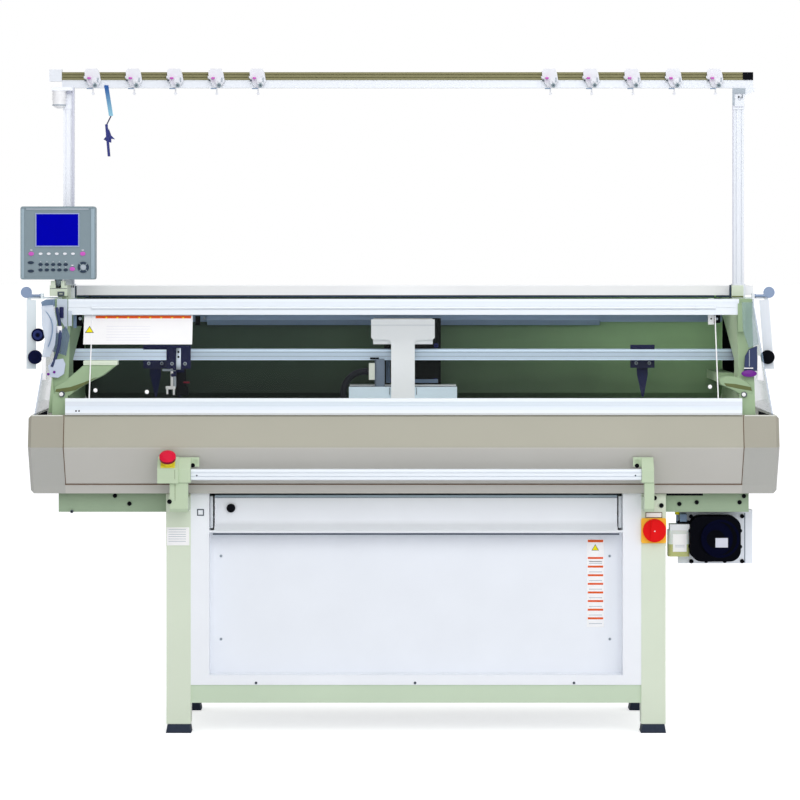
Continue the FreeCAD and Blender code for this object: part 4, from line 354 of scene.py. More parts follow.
SHADES = (
    (enamel, {
        "leg": ("leg_green", 218, 228, 209), "rail": ("rail_green", 201, 218, 194),
        "cabinet": ("cabinet_white", 242, 245, 251), "panel": ("panel_white", 238, 242, 249, 0.38, 0.08),
        "beige": ("cover_beige", 176, 174, 160, 0.34),
        "beige_side": ("end_cover_beige", 166, 163, 150, 0.34), "table": ("table_white", 250, 251, 254),
        "carriage": ("carriage_white", 248, 252, 255, 0.32),
        "carriage_box": ("carriage_box_white", 218, 236, 246, 0.32),
        "navy": ("navy_black", 22, 27, 74, 0.42), "steel_blue": ("steel_blue", 128, 150, 178),
        "box_top": ("box_top_shade", 84, 98, 118), "flange": ("flange_grey", 214, 218, 230),
        "pale_clear": ("pale_clear", 196, 206, 224), "blue_dark": ("blue_dark", 52, 62, 96),
        # An olive for painted shade under the rail haunches and at the right post's foot, also used for the
        # bracket's seam.
        "bar_shade": ("bar_shade", 104, 112, 70), "lamp_blue": ("lamp_blue", 166, 190, 222),
        "beige_low": ("cover_beige_lower_painted_light", 196, 194, 188, 0.34),
        "beige_end": ("cover_beige_end_lower_painted_light", 183, 183, 178, 0.34),
        # The brackets take a darker copy of the leg green: painted shade.
        "bracket": ("bracket_green_painted_shade", 192, 209, 180), "plate_pale": ("plate_pale", 238, 242, 248),
        "lavender_plate": ("plate_lavender", 240, 249, 255),
        # The cover shade is a painted shadow and the cover edge a painted highlight, both along the covers'
        # top edges.
        "cover_shade": ("cover_shade", 146, 145, 132), "cover_edge": ("cover_edge", 224, 227, 219),
        "jamb": ("jamb_blue_grey", 172, 188, 202), "jamb_pale": ("jamb_pale", 220, 225, 230)}),
    (casting_paint, {
        "base": ("base_green", 152, 172, 146), "casting": ("casting_green", 160, 184, 148),
        "casting_side": ("casting_right_side_painted_light_green", 230, 250, 212),
        "casting_dim": ("casting_left_side_painted_shade_green", 166, 192, 158)}),
    (anodised, {
        "profile": ("profile_white", 223, 229, 236), "post": ("post_white", 233, 236, 243),
        "stand": ("stand_white", 216, 220, 227), "olive": ("bar_olive", 122, 119, 86)}),
    (brushed, {
        "steel": ("drawn_steel", 186, 196, 208),
        "plate": ("folded_steel", 238, 243, 252, 0.4, 0.1, (1, 1, 30), 0.03)}),
    (clear_sheet, {
        "clear": ("clear_hood", 222, 232, 230, 0.006),
        "clear_end": ("clear_end_cover", 158, 182, 214, 0.38),
        "clear_pale": ("clear_guard_pale", 216, 226, 240, 0.66),
        "clear_blue_painted_shade": ("clear_guard_blue_painted_shade", 84, 100, 146, 0.42),
        "clear_green": ("clear_guard_green", 150, 176, 182, 0.3)}),
    (moulded, {
        "white": ("white_moulding", 236, 238, 244), "grey": ("panel_grey", 134, 150, 158),
        "dark_grey": ("dark_grey", 84, 92, 102), "red": ("signal_red", 230, 5, 10),
        "stop_red": ("stop_red", 216, 16, 56), "switch": ("switch_orange", 252, 194, 62),
        "yellow": ("stop_yellow", 238, 222, 64), "paddle": ("paddle_blue_grey", 146, 164, 194),
        "lavender": ("frame_lavender", 158, 170, 205), "pale_grey": ("pale_grey", 176, 186, 196),
        "slate": ("key_slate", 48, 62, 80), "pink": ("key_pink", 208, 96, 196),
        "hazard": ("hazard_yellow", 245, 232, 20), "orange": ("band_orange", 228, 92, 40),
        "label_white": ("label_white", 253, 252, 255, 0.02),
        "faint": ("faint_print", 234, 234, 242, 0.02), "label_grey": ("label_grey", 212, 214, 228, 0.02),
        "brown": ("label_edge_brown", 96, 72, 50), "socket_grey": ("socket_grey", 112, 126, 142),
        "band_grey": ("panel_band", 158, 177, 188), "stop_rim": ("stop_red_underside_painted_shade", 128, 8, 34),
        "cream": ("socket_cream", 222, 228, 216), "crimson": ("guide_crimson", 130, 18, 48)}),
    (dull, {
        "black": ("black_moulding", 16, 17, 22), "screen": ("screen_blue", 0, 0, 176),
        "blower_blue": ("blower_blue_black", 5, 7, 30), "recess": ("recess_shade", 16, 20, 20),
        "disc_blue": ("knob_disc_blue", 56, 66, 122), "knob_navy": ("knob_navy", 22, 26, 60),
        "blower_black": ("blower_black", 6, 7, 13)}),
    (rubber, {
        "rubber": ("black_rubber", 24, 25, 32), "pad": ("pad_rubber", 46, 54, 70)}),
    (glossy, {
        "lens": ("lamp_lens", 250, 250, 254, 0.3), "blue_screw": ("screw_blue", 30, 40, 120),
        "purple": ("purple_nut", 110, 30, 140)}),
    (lined_rail, {
        "rail_steel": ("rail_steel", 180, 197, 212)}),
)

PAINT = {"inner": inner_green(), "lower_profile": lower_rail_finish(), "bed": needle_bed_steel(),
         "bottle": oil_and_bottle(0.562), "strip": threading_strip(1.946, 1.854)}
for kind, shades in SHADES:
    for key, (name, red, green, blue, *more) in shades.items():
        PAINT[key] = kind(name, (red, green, blue), *more)


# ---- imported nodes

def paint(name, finish, where=None):
    """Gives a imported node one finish, or only those of its faces that pass a test."""
    mesh = nodes[name].data
    material = PAINT[finish]
    if where is None:
        mesh.materials.clear()
        mesh.materials.append(material)
        return
    if material.name not in [held.name for held in mesh.materials]:
        mesh.materials.append(material)
    index = [held.name for held in mesh.materials].index(material.name)
    for face in mesh.polygons:
        if where(millimetres(face.center), face.normal):
            face.material_index = index


NODES_BY_FINISH = {
    "leg": ("side_frame_left", "side_frame_right", "panel_arm"),
    "rail": ("cross_rails",), "pad": ("foot_pads",), "base": ("bed_base",), "table": ("yarn_shelf",),
    "cabinet": ("cabinet_shell", "take_down_flap"), "panel": ("cabinet_panel",),
    "bed": ("needle_bed_front", "needle_bed_rear"),
    "casting": ("end_casting_left", "end_casting_right", "rear_cover"),
    "beige": ("front_cover",), "beige_side": ("end_cover_left", "end_cover_right"),
    "clear_end": ("side_covers",), "clear": ("hood_top_pane", "hood_pane"),
    "profile": ("hood_upper_rail", "hood_hinge_rail", "start_bar"), "lower_profile": ("hood_lower_rail",),
    "rail_steel": ("yarn_rails",), "lamp_blue": ("lamp",), "post": ("yarn_post_left",),
    "steel": ("presser_roller", "carriage_rails", "drive_pulley", "idler_pulley"),
    "carriage": ("carriage_front", "carriage_rear", "carriage_bridge"),
    "rubber": ("take_down_roller", "carriage_cable", "drive_belt"),
    "navy": ("yarn_carrier_front", "yarn_carrier_middle", "yarn_carrier_rear", "threading_tool"),
    "stand": ("yarn_post_right", "stand_rail"), "olive": ("top_bar",), "white": ("tension_units",),
    "lens": ("signal_lamp",), "lavender_plate": ("side_tension_plates",),
    "paddle": ("side_arm_left", "side_arm_right"), "grey": ("control_panel",),
    "bracket": ("bar_bracket_left", "bar_bracket_right"), "stop_red": ("stop_button",),
    "yellow": ("stop_ring",), "switch": ("main_switch_plate",), "red": ("main_switch_knob",),
    "plate": ("blower_plate",), "blower_black": ("blower_housing",), "bottle": ("oil_bottle",),
}


BOX_TOP = 1033          # the top of the carriage's front box
CREASE = (-425, 862)    # the foremost line of the covers, as (y, z)
KNOBS = ((-1116, 1125), (-1107, 1192), (1102, 1125))
KNOB_REACH = 27
FLAP_PLUG = (-520, 671)


# Each test of a face gets the place of its middle, and the way it looks.

def in_recess(at, way):
    """Faces inside the recess of an end casting, past its inner face."""
    inside = 1004.5 < abs(at.x) < 1037 and 1072 < at.z < 1250 and -176 < at.y < 260
    return inside and (at.y < 0 or way.y < 0.5)


def on_knob(at, way):
    """Faces of the knobs on the two tension plates."""
    return at.y < -201 and any(math.hypot(at.x - x, at.z - z) < KNOB_REACH for x, z in KNOBS)


def paint_nodes():
    for finish, names in NODES_BY_FINISH.items():
        for name in names:
            paint(name, finish)
    # The rear cover's front faces take the green with painted light and shade.
    paint("rear_cover", "inner", lambda at, way: way.y < -0.5 and at.z > 760)
    # Lit and shaded copies of the casting green on the castings' side faces: painted light on the right,
    # painted shade on the left.
    for name in ("end_casting_left", "end_casting_right"):
        paint(name, "casting_side", lambda at, way: abs(way.x) > 0.6 and at.x > 0)
        paint(name, "casting_dim", lambda at, way: abs(way.x) > 0.6 and at.x < 0)
        # The faces inside each casting's recess are near-black: painted shade.
        paint(name, "recess", in_recess)
    paint("take_down_flap", "black",
          lambda at, way: at.y < -267.5 and math.hypot(at.x - FLAP_PLUG[0], at.z - FLAP_PLUG[1]) < 15)
    paint("carriage_bridge", "recess", lambda at, way: at.y > 101)
    paint("carriage_bridge", "steel", lambda at, way: at.y > 101 and way.x > 0.9)
    paint("carriage_front", "carriage_box", lambda at, way: way.y < -0.5 and at.z < BOX_TOP + 1)
    # Upward faces at the top of the carriage's front box take a dark blue-grey: painted shade.
    paint("carriage_front", "box_top", lambda at, way: way.z > 0.9 and 1025 < at.z < 1040)
    paint("carriage_front", "socket_grey", lambda at, way: at.z > BOX_TOP)
    paint("carriage_front", "cream", lambda at, way: at.z > BOX_TOP and at.x < -88)
    paint("carriage_front", "black", lambda at, way: at.x < -168)
    paint("hood_pane", "profile", lambda at, way: abs(way.x) > 0.9)
    # The forward faces below the crease take lighter copies of the covers' beige: painted light on the lower,
    # downward-sloping faces.
    for name, finish in (("front_cover", "beige_low"), ("end_cover_left", "beige_end"),
                         ("end_cover_right", "beige_end")):
        paint(name, finish, lambda at, way: at.z < CREASE[1] and way.y < -0.3)
    paint("oil_bottle", "white", lambda at, way: 604.5 < at.z < 624)
    paint("oil_bottle", "steel_blue", lambda at, way: at.z >= 624)
    paint("oil_bottle", "hazard", lambda at, way: at.z > 648)
    paint("top_bar", "black", lambda at, way: at.x > 1035)
    paint("threading_tool", "strip", lambda at, way: at.z > 1852)
    paint("threading_tool", "blue_screw", lambda at, way: 1760 < at.z < 1830)
    paint("side_tension_plates", "plate_pale", lambda at, way: at.x > 0)
    paint("side_tension_plates", "black", on_knob)
    paint("side_tension_plates", "knob_navy", lambda at, way: at.x < 0 and on_knob(at, way))
    for name in ("side_arm_left", "side_arm_right"):
        paint(name, "dark_grey", lambda at, way: -1122 < at.x < 1100 and at.z < 1308)
    # The stop button's downward faces take a darker red: painted shade under its head.
    paint("stop_button", "stop_rim", lambda at, way: way.z < -0.2)
    paint("stop_button", "black", lambda at, way: at.z - at.y < 1290)
    paint("control_panel", "black", lambda at, way: at.z < 1350.5)
    paint("blower_plate", "flange", lambda at, way: at.x > 1030)


# ---- forming pieces

ROUND_SHARE = 0.3        # the most of a thickness that one rounded edge takes
FLAT = 0.99
SMOOTH_BELOW = math.radians(40)
DRIVE = (0.42, 0.6)      # a screw drive's border and depth, as shares of its radius and height
KEY_DISH = (0.2, 0.25)   # the same of a key, as shares of its height and rise
SIGN_FIELD = 0.8
SIGN_ROUND = 0.12


def only(*parts):
    """Selects these pieces and no others; the first is the active one."""
    bpy.ops.object.select_all(action="DESELECT")
    for part in parts:
        part.select_set(True)
    if parts:
        bpy.context.view_layer.objects.active = parts[0]


def editing(on, kind=None, action=None):
    """Opens or closes the active mesh; a kind of element and an action select all or nothing of it."""
    bpy.ops.object.mode_set(mode="EDIT" if on else "OBJECT")
    if kind:
        bpy.ops.mesh.select_mode(type=kind)
        bpy.ops.mesh.select_all(action=action)


def freeze():
    """Puts the places of the selected pieces into their meshes."""
    bpy.ops.object.transform_apply(location=True, rotation=True, scale=True)


def settle(finish):
    """Gives the new piece one finish and puts its place into its mesh."""
    made = bpy.context.object
    freeze()
    made.data.materials.clear()
    made.data.materials.append(PAINT[finish])
    return made


def soften(edge, segments=2):
    """Rounds every edge of the active object."""
    editing(True)
    bpy.ops.mesh.select_all(action="SELECT")
    bpy.ops.mesh.bevel(offset=edge * MM, segments=segments, affect="EDGES", clamp_overlap=True)
    editing(False)


def slab(across, deep, up, finish, edge=0.6):
    """A plate or bar between two places on each axis, with rounded edges."""
    low, high = [place(*corner) for corner in zip(across, deep, up)]
    only()
    bpy.ops.mesh.primitive_cube_add(size=1, location=(low + high) / 2, scale=high - low)
    made = settle(finish)
    soften(min(edge, ROUND_SHARE * min(high - low) / MM))
    return made


def slabs(*rows):
    return [slab(*row) for row in rows]


def disc(centre, radius, deep, finish, sides=28, edge=0.8, squash=1.0, upright=False):
    """A round or oval button with a rounded rim: it faces the front at (x, z), or upwards at (x, y)."""
    depth = abs(deep[1] - deep[0])
    middle = (deep[0] + deep[1]) / 2
    spot = (centre[0], centre[1], middle) if upright else (centre[0], middle, centre[1])
    only()
    bpy.ops.mesh.primitive_cylinder_add(vertices=sides, radius=radius * MM, depth=depth * MM,
                                        location=place(*spot),
                                        rotation=(0 if upright else math.pi / 2, 0, 0))
    bpy.context.object.scale = (1, squash, 1)
    made = settle(finish)
    soften(min(edge, ROUND_SHARE * depth, ROUND_SHARE * radius * min(1, squash)))
    return made


def dished(made, border, depth, finish=None):
    """Sinks a piece's flat front inside a border; the floor may get its own finish."""
    only(made)
    front = [face for face in made.data.polygons if -face.normal.y > FLAT]
    largest = max(front, key=lambda face: face.area).index
    editing(True, "FACE", "DESELECT")
    editing(False)
    made.data.polygons[largest].select = True
    editing(True)
    bpy.ops.mesh.inset(thickness=border * MM, depth=0)
    bpy.ops.mesh.extrude_region_shrink_fatten(TRANSFORM_OT_shrink_fatten={"value": -depth * MM})
    if finish:
        made.data.materials.append(PAINT[finish])
        made.active_material_index = len(made.data.materials) - 1
        bpy.ops.object.material_slot_assign()
    editing(False)
    return made


def copied(made, shifts):
    """A piece and its copies, each with its own mesh, at the given shifts in millimetres."""
    copies = [made]
    for shift in shifts:
        only(made)
        bpy.ops.object.duplicate(linked=False)
        bpy.ops.transform.translate(value=Vector(shift) * MM)
        freeze()
        copies.append(bpy.context.object)
    return copies


def in_row(made, count, right, up=0):
    """A row of like pieces, at even steps to the right or upwards."""
    return copied(made, [(right * step, 0, up * step) for step in range(1, count)])


def at_places(make, places):
    """Makes a part at the first place and copies it to the others; places are (x, z)."""
    first = places[0]
    return copied(make(first), [(x - first[0], 0, z - first[1]) for x, z in places[1:]])


def cut_plate(outline, deep, finish, edge=0.8):
    """A plate cut to an outline of (x, z) corners, between two depths."""
    only()
    bpy.ops.mesh.primitive_circle_add(vertices=len(outline), radius=MM, fill_type="NGON",
                                      location=place(outline[0][0], deep[0], outline[0][1]))
    made = settle(finish)
    for index, (x, z) in enumerate(outline):
        editing(True, "VERT", "DESELECT")
        editing(False)
        corner = made.data.vertices[index]
        corner.select = True
        shift = place(x, deep[0], z) - corner.co
        editing(True)
        bpy.ops.transform.translate(value=shift)
        editing(False)
    editing(True, "VERT", "SELECT")
    thickness = deep[1] - deep[0]
    bpy.ops.mesh.extrude_region_move(TRANSFORM_OT_translate={"value": (0, thickness * MM, 0)})
    bpy.ops.mesh.select_all(action="SELECT")
    bpy.ops.mesh.normals_make_consistent(inside=False)
    editing(False)
    soften(min(edge, ROUND_SHARE * thickness), segments=1)
    return made


def hose(spots, radius, finish):
    """A round hose through five points, closed at both ends."""
    only()
    bpy.ops.curve.primitive_nurbs_path_add(location=(0, 0, 0))
    made = bpy.context.object
    path = made.data.splines[0]
    for point, spot in zip(path.points, spots):
        point.co = (*place(*spot), 1)
    path.use_endpoint_u = True
    path.resolution_u = 6
    made.data.bevel_depth = radius * MM
    made.data.bevel_resolution = 3
    made.data.use_fill_caps = True
    bpy.ops.object.convert(target="MESH")
    return settle(finish)


def tilted(parts, angle, about, axis="X"):
    """Turns pieces about a line along an axis through a point."""
    only(*parts)
    bpy.ops.transform.rotate(value=angle, orient_axis=axis, center_override=place(*about))
    freeze()
    return parts


def fitted(name, parts, body="machine"):
    """Joins parts into one named piece that rides on a body."""
    only(*parts)
    if len(parts) > 1:
        bpy.ops.object.join()
    made = bpy.context.object
    made.name = name
    made.data.name = name
    bpy.ops.object.shade_smooth_by_angle(angle=SMOOTH_BELOW)
    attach(made, body)
    return made


def screws(name, places, face, radius, finish, height=2.5, body="machine"):
    """Round screw heads on a front face, with sunk drives."""
    def screw(spot):
        head = disc(spot, radius, (face - height, face + 0.5), finish, sides=20)
        return dished(head, radius * DRIVE[0], height * DRIVE[1], "black")
    return fitted(name, at_places(screw, places), body)


# ---- control panel

def keys(rise, *groups):
    """Oval push keys that rise from the panel; a group is its places, width, height and finish."""
    face = front_of("control_panel")
    parts = []
    for places, width, height, finish in groups:
        def key(spot):
            made = disc(spot, width / 2, (face - rise, face + 0.5), finish, sides=24, squash=height / width)
            return dished(made, height * KEY_DISH[0], rise * KEY_DISH[1])
        parts += at_places(key, places)
    return parts


def panel_fittings():
    """The screen and bands, the keys and their marks, the cursor pad, and the marks on the arm."""
    face = front_of("control_panel")
    low, high = box_of("control_panel")
    rim = slab((-1114, -980), (face - 1.2, face + 1), (1458.5, 1561.5), "lavender")
    band = ((face - 0.6, face + 1), (1364, 1574), "band_grey", 0.3)
    parts = [dished(rim, 3.0, 0.8, "screen")]
    parts += slabs(((-1141.5, -952.5), (face - 0.8, face + 1), (1571, 1574.5), "pale_grey"),
                   ((low.x + 2.5, low.x + 11), *band), ((high.x - 14, high.x - 3), *band))
    fitted("panel_screen", parts, "panel")

    soft = [(-1097.5 + 24.5 * step, 1438) for step in range(5)]
    numbers = [(-1097.5 + 19 * step, row) for row in (1405.5, 1389) for step in range(5)]
    arrows = [(-1127, 1411), (-1127, 1385.5)]
    calls = [(-1126, 1438), (-970, 1438), (-1001.5, 1392)]
    parts = keys(1.6, (soft, 12, 7.5, "white"), (numbers, 13.5, 9, "slate"),
                 (arrows, 19.5, 9, "slate"), (calls, 16.5, 12.5, "pink"))
    fitted("panel_keys", parts, "panel")
    parts = keys(0.9, ([(x, z + 8.5) for x, z in numbers], 2.6, 2.2, "white"),
                 ([(x, z + 11) for x, z in calls], 8, 3, "white"))
    fitted("panel_key_marks", parts, "panel")

    x, z = -968.5, 1397
    outer = 17
    inner = 10.5
    ring = disc((x, z), outer, (face - 2.0, face + 0.5), "slate", sides=40)
    parts = [dished(ring, outer - inner, 1.6, "grey")]
    for turn in (45, 135):
        bar = slab((x - outer, x + outer), (face - 2.2, face - 0.2), (z - 1.6, z + 1.6), "grey")
        parts += tilted([bar], math.radians(turn), (x, face, z), "Y")
    parts.append(disc((x, z), inner * 0.8, (face - 2.6, face), "pale_grey", sides=32))
    fitted("panel_dial", parts, "panel")

    face = front_of("panel_arm")
    slot = slab((-1054, -1040), (face - 0.8, face + 2), (1342.5, 1359), "black")
    latch = slab((-1047.5, -1027), (face - 2.4, face + 1), (1310, 1323.5), "dark_grey")
    seam = slab((-1070.5, -1018.5), (face - 0.5, face + 1), (1332, 1333.5), "dark_grey", 0.3)
    fitted("panel_arm_marks", [slot, dished(latch, 4.5, 2.0, "leg"), seam])
    slot = slab((-1019.5, -1016), (-93.5, -90), (1334.5, 1341.5), "black", 0.3)
    fitted("left_post_slots", in_row(slot, 2, 7))


# ---- signs and labels

def hazard_sign(x, z, size, face):
    """A plain yellow triangle with a dark rim."""
    return [disc((x, up), radius, (face - rise, face + 0.3), finish, sides=3, edge=radius * SIGN_ROUND)
            for up, radius, rise, finish in ((z, size, 0.9, "black"),
                                             (z - size * 0.01, size * SIGN_FIELD, 1.5, "hazard"))]


def pane():
    """The two corners of the hood's clear pane, and how far it leans back."""
    low, high = box_of("hood_pane")
    return low, high, math.atan2(high.y - low.y, high.z - low.z)


def sign_on_hood():
    """The long sign on the clear pane: a white field, an orange band and a yellow triangle."""
    low, high, lean = pane()
    top = 1253
    bottom = 1166
    middle = (top + bottom) / 2
    half = (top - bottom) / 2 / math.cos(lean)
    y = low.y + (middle - low.z) * math.tan(lean) - 1
    face = y - 1.2
    edge = middle + half - 2
    parts = slabs(((-960.5, -634), (face, y + 1.5), (middle - half, middle + half), "label_white"),
                  ((-926, -639), (face - 0.8, face + 0.5), (edge - 9, edge), "orange", 0.3))
    tick = slab((-896, -891.5), (face - 1.2, face + 0.2), (edge - 9, edge - 5), "hazard", 0.3)
    parts += in_row(tick, 8, 33)
    line = slab((-892, -760.5), (face - 0.5, face + 0.5), (middle + 10, middle + 11.2), "faint", 0.2)
    parts += in_row(line, 6, 0, -9)
    parts += hazard_sign(-943, 1206.5, 15, face)
    fitted("hood_sign", tilted(parts, lean, (0, y, middle)), "hood")


def cabinet_signs():
    """The tall caution strip, the square mark and the screws of the cabinet's front."""
    face = front_of("cabinet_panel")
    near = (face - 1.2, face)
    spacing = -26
    strip = slab((553, 604.5), (face - 0.8, face + 0.5), (311.5, 577), "label_white", 0.3)
    band = slab((555.5, 602), near, (517, 523), "orange", 0.3)
    parts = [strip] + in_row(band, 8, 0, spacing) + [slab((555.5, 602), near, (567.5, 575), "orange", 0.3)]
    line = slab((559, 598.5), (face - 1.0, face), (508.5, 510.5), "pale_grey", 0.2)
    parts += copied(line, [(0, 0, 0)] + [(0, 0, spacing * step - 5.5) for step in range(8)])
    parts += hazard_sign(578, 549, 13, face)
    fitted("caution_strip", parts)
    corners = [(-551, 526), (621.5, 526), (-551, 275.5), (622, 275.5)]
    screws("cabinet_panel_screws", corners, face, 4.5, "pale_grey", 1.8)
    side = front_of("cabinet_shell")
    foot = [(-443, 150), (34, 150), (511, 150)]
    screws("cabinet_foot_screws", foot, side, 4, "dark_grey", 1.8)
    mark = slab((-620, -599), (side - 0.8, side + 0.5), (651.5, 672), "dark_grey", 0.3)
    fitted("cabinet_mark", [dished(mark, 3, 0.7, "cabinet")])


def leg_signs():
    """White plates on the left leg and over the main switch."""
    face = front_of("side_frame_left")
    plate, row = slabs(((-711, -643), (face - 1, face + 0.5), (563, 617), "label_white", 0.4),
                       ((-705.5, -653), (face - 1.3, face), (609.5, 611), "pale_grey", 0.2))
    fitted("left_leg_label", [plate] + in_row(row, 6, 0, -7))
    plate = slab((725.5, 775.5), (face - 1, face + 0.5), (645.5, 662.5), "brown", 0.4)
    fitted("switch_label", [dished(plate, 1.6, 0.6, "label_white")])


# ---- machine bed, legs and flap

def bed_fittings():
    """The flanges between the legs and the machine bed, the bed's bolts, and the slit over them."""
    bed = front_of("bed_base")
    heads = []
    for name in ("side_frame_left", "side_frame_right"):
        low, high = box_of(name)
        heads.append(slab((low.x, high.x), (low.y, bed + 1), (high.z - 1, 718), "leg", 1.5))
    fitted("leg_heads", heads)
    screws("leg_head_bolts", [(752.5, 705), (773, 682.5)], front_of("side_frame_right"), 7, "black", height=4)
    spots = [(828.5, 686), (880.5, 691), (1009.5, 691), (1022.5, 709.5), (-867.5, 710.5), (-824, 687)]
    screws("bed_bolts", spots, bed, 6.5, "black", height=4)
    slit = slab((790, 899.5), (bed - 0.8, bed + 1), (711, 718.5), "black", 0.3)
    fitted("bed_slit", [slit])
    stub = disc((-997, 663.5), 5, (bed - 8, bed + 1), "dark_grey")
    fitted("bed_plug", [dished(stub, 2, 2, "black")])


def flap_fittings():
    """The flap's top lip, the jambs beside it and the dark joint at its foot."""
    fitted("flap_lip", slabs(((-569, 643), (-266, -262), (702, 711), "jamb")), "flap")
    jamb = ((-271, -262), (612, 708), "jamb_pale")
    parts = slabs(((-582.5, -574), *jamb), ((647, 656.5), *jamb),
                  ((-573, 647), (-309.5, -306), (594.5, 599), "slate", 0.5))
    fitted("flap_jambs", parts)


# ---- front bar, stop button and switch

def bar_fittings():
    """Holes in the bracket ears, the bar's end screws, and the left bracket's bolt and seam."""
    ear = -416.5
    screws("ear_screws", [(-626.5, 809), (693, 808)], ear, 6.5, "black")
    screws("bar_screws", [(-613.5, 780), (687, 780)], front_of("start_bar"), 2.4, "dark_grey",
           1.2, "bar")
    foot = -445
    head = front_of("bar_bracket_left")
    screws("bracket_bolts", [(-694, 703)], foot, 7, "black", height=3)
    parts = slabs(((-678, -677), (head - 0.5, head + 1), (770, 798), "bar_shade", 0.2),
                  ((-678, -677), (foot - 0.5, foot + 1), (706, 764), "bar_shade", 0.2))
    fitted("bracket_seam", parts)


def switch_fittings():
    """The light mark on the red knob."""
    face = front_of("main_switch_knob")
    mark = slab((749, 753), (face - 0.5, face + 0.5), (606, 609), "label_white", 0.2)
    fitted("switch_mark", [mark], "switch")


# ---- blower and oil bottle

def blower_fittings():
    """Plate bolts, case lugs, the swept ring on the case and its plain label."""
    plate = front_of("blower_plate")
    spots = [(871, 641.5), (1025.5, 643), (871.5, 506), (1025.5, 506.5)]
    screws("blower_plate_bolts", spots, plate, 6.5, "black", height=5)
    # A grey line along the plate's fold: painted shade at the bend.
    fold = slab((1032.5, 1035), (plate - 0.6, plate + 1), (501, 652.5), "socket_grey", 0.2)
    fitted("blower_plate_fold_painted_shade", [fold])
    low, high = box_of("blower_housing")
    x, z = (low.x + high.x) / 2, (low.z + high.z) / 2
    span = high.x - low.x
    lug, foot = [disc(spot, 6, (low.y + 10, low.y + 40), "black", sides=16)
                 for spot in ((high.x - 1, z + 24), (x - 28, low.z + 1))]
    lugs = copied(lug, [(0, 0, -48), (-span + 2, 0, 0), (-span + 2, 0, -48)]) + in_row(foot, 2, 56)
    fitted("blower_lugs", lugs)
    swirl = disc((x + 14, z + 1), 58, (low.y - 0.5, low.y + 9), "blower_blue", sides=56)
    fitted("blower_hub", [dished(swirl, 7, 2.5)])
    label = slab((937.5, 975), (low.y - 0.2, low.y + 4), (554.5, 583), "label_grey", 0.4)
    fitted("blower_label", [label])


def bottle_fittings():
    """The bottle's label with two lines of print, and the grey level switch beside its neck."""
    front = front_of("oil_bottle")
    label, line = slabs(((811.5, 853), (front - 0.7, front + 1), (539.5, 593), "label_white", 0.4),
                        ((818, 846.5), (front - 1, front), (553.5, 555), "pale_grey", 0.2))
    fitted("bottle_label", [label] + in_row(line, 2, 0, 5))
    case, foot = slabs(((834, 855.5), (-243, -205), (629, 652.5), "steel_blue", 1.5),
                       ((825, 864), (-240, -201), (623.5, 630), "black", 1))
    fitted("level_switch", [dished(case, 3, 2), foot])


# ---- yarn stand

def stand_fittings():
    """The holes and the painted shade on the sides of the posts, and the pilot lamp's band."""
    post = -92
    face = (post - 0.8, post + 1)
    hole = disc((1025.5, 1918.5), 2.6, face, "black", sides=16)
    slot = slab((1035, 1037.5), face, (1914.5, 1925.5), "dark_grey", 0.3)
    fitted("right_post_holes", [hole, slot])
    # Grey strips on the posts' fronts are painted shade for their sides and the right post's head.
    rows = (((1006.5, 1045.5), (1928, 1945), "pale_grey"), ((1006.5, 1013), (1892, 1928), "pale_grey"),
            ((1006.5, 1009.5), (1345, 1892), "label_grey"), ((1013, 1041), (1887, 1889), "label_grey"),
            ((-1040, -1016), (1926, 1944.5), "label_grey"), ((-1015, -1008), (1345, 1944.5), "label_grey"))
    parts = [slab(across, face, up, finish, 0.4) for across, up, finish in rows]
    fitted("post_shades", parts)
    low, high = box_of("signal_lamp")
    band = disc(((low.x + high.x) / 2, (low.y + high.y) / 2), (high.x - low.x) / 2 - 0.6,
                (low.z + 8, low.z + 12), "pale_grey", sides=40, upright=True)
    fitted("lamp_band", [band])


def tension_fittings():
    """What is not white on the ten tension units: latches, grey discs, dark eyes and springs."""
    front = front_of("tension_units")
    first = 447
    spacing = 126.2
    for side, name in ((-1, "left"), (1, "right")):
        parts = []
        for number in range(5):
            x = side * (first + spacing * number)
            wheel = disc((x + 10, 1952), 6.5, (front - 0.8, front + 2), "grey", sides=20)
            parts += [slab((x - 14, x - 4), (front + 3, front + 22), (1972, 1977), "pink", 0.8),
                      dished(wheel, 3.0, 1.0, "dark_grey"),
                      disc((x - 20, 1968), 3.2, (front + 12, front + 22), "dark_grey", sides=16),
                      slab((x - 16, x + 2), (front + 8, front + 14), (1941, 1944), "steel_blue", 0.8),
                      slab((x + 16, x + 20), (front + 6, front + 18), (1962, 1976), "pale_grey", 0.8)]
        fitted("tension_bits_" + name, parts)


# ---- under the hood

def lamp_and_table():
    """The lamp's dark holder and nut, and a painted shadow in three lengths in the gap under the yarn table.
    """
    face = front_of("lamp")
    holder = slab((-654.5, -639.5), (face - 4, face + 4), (1214.5, 1243), "black", 1)
    nut = disc((-626, 1236), 4.5, (face - 3, face + 2), "pale_grey", sides=6)
    fitted("lamp_end", [holder, nut])
    # Slate strips in the gap under the yarn table's front: painted shadow.
    parts = [slab(across, (-37.5, -31), (1304.6, 1310.5), "slate", 0.4)
             for across in ((-1010.5, -967.5), (-962.5, 955.5), (961.5, 1005))]
    fitted("table_gap_painted_shadow", parts)


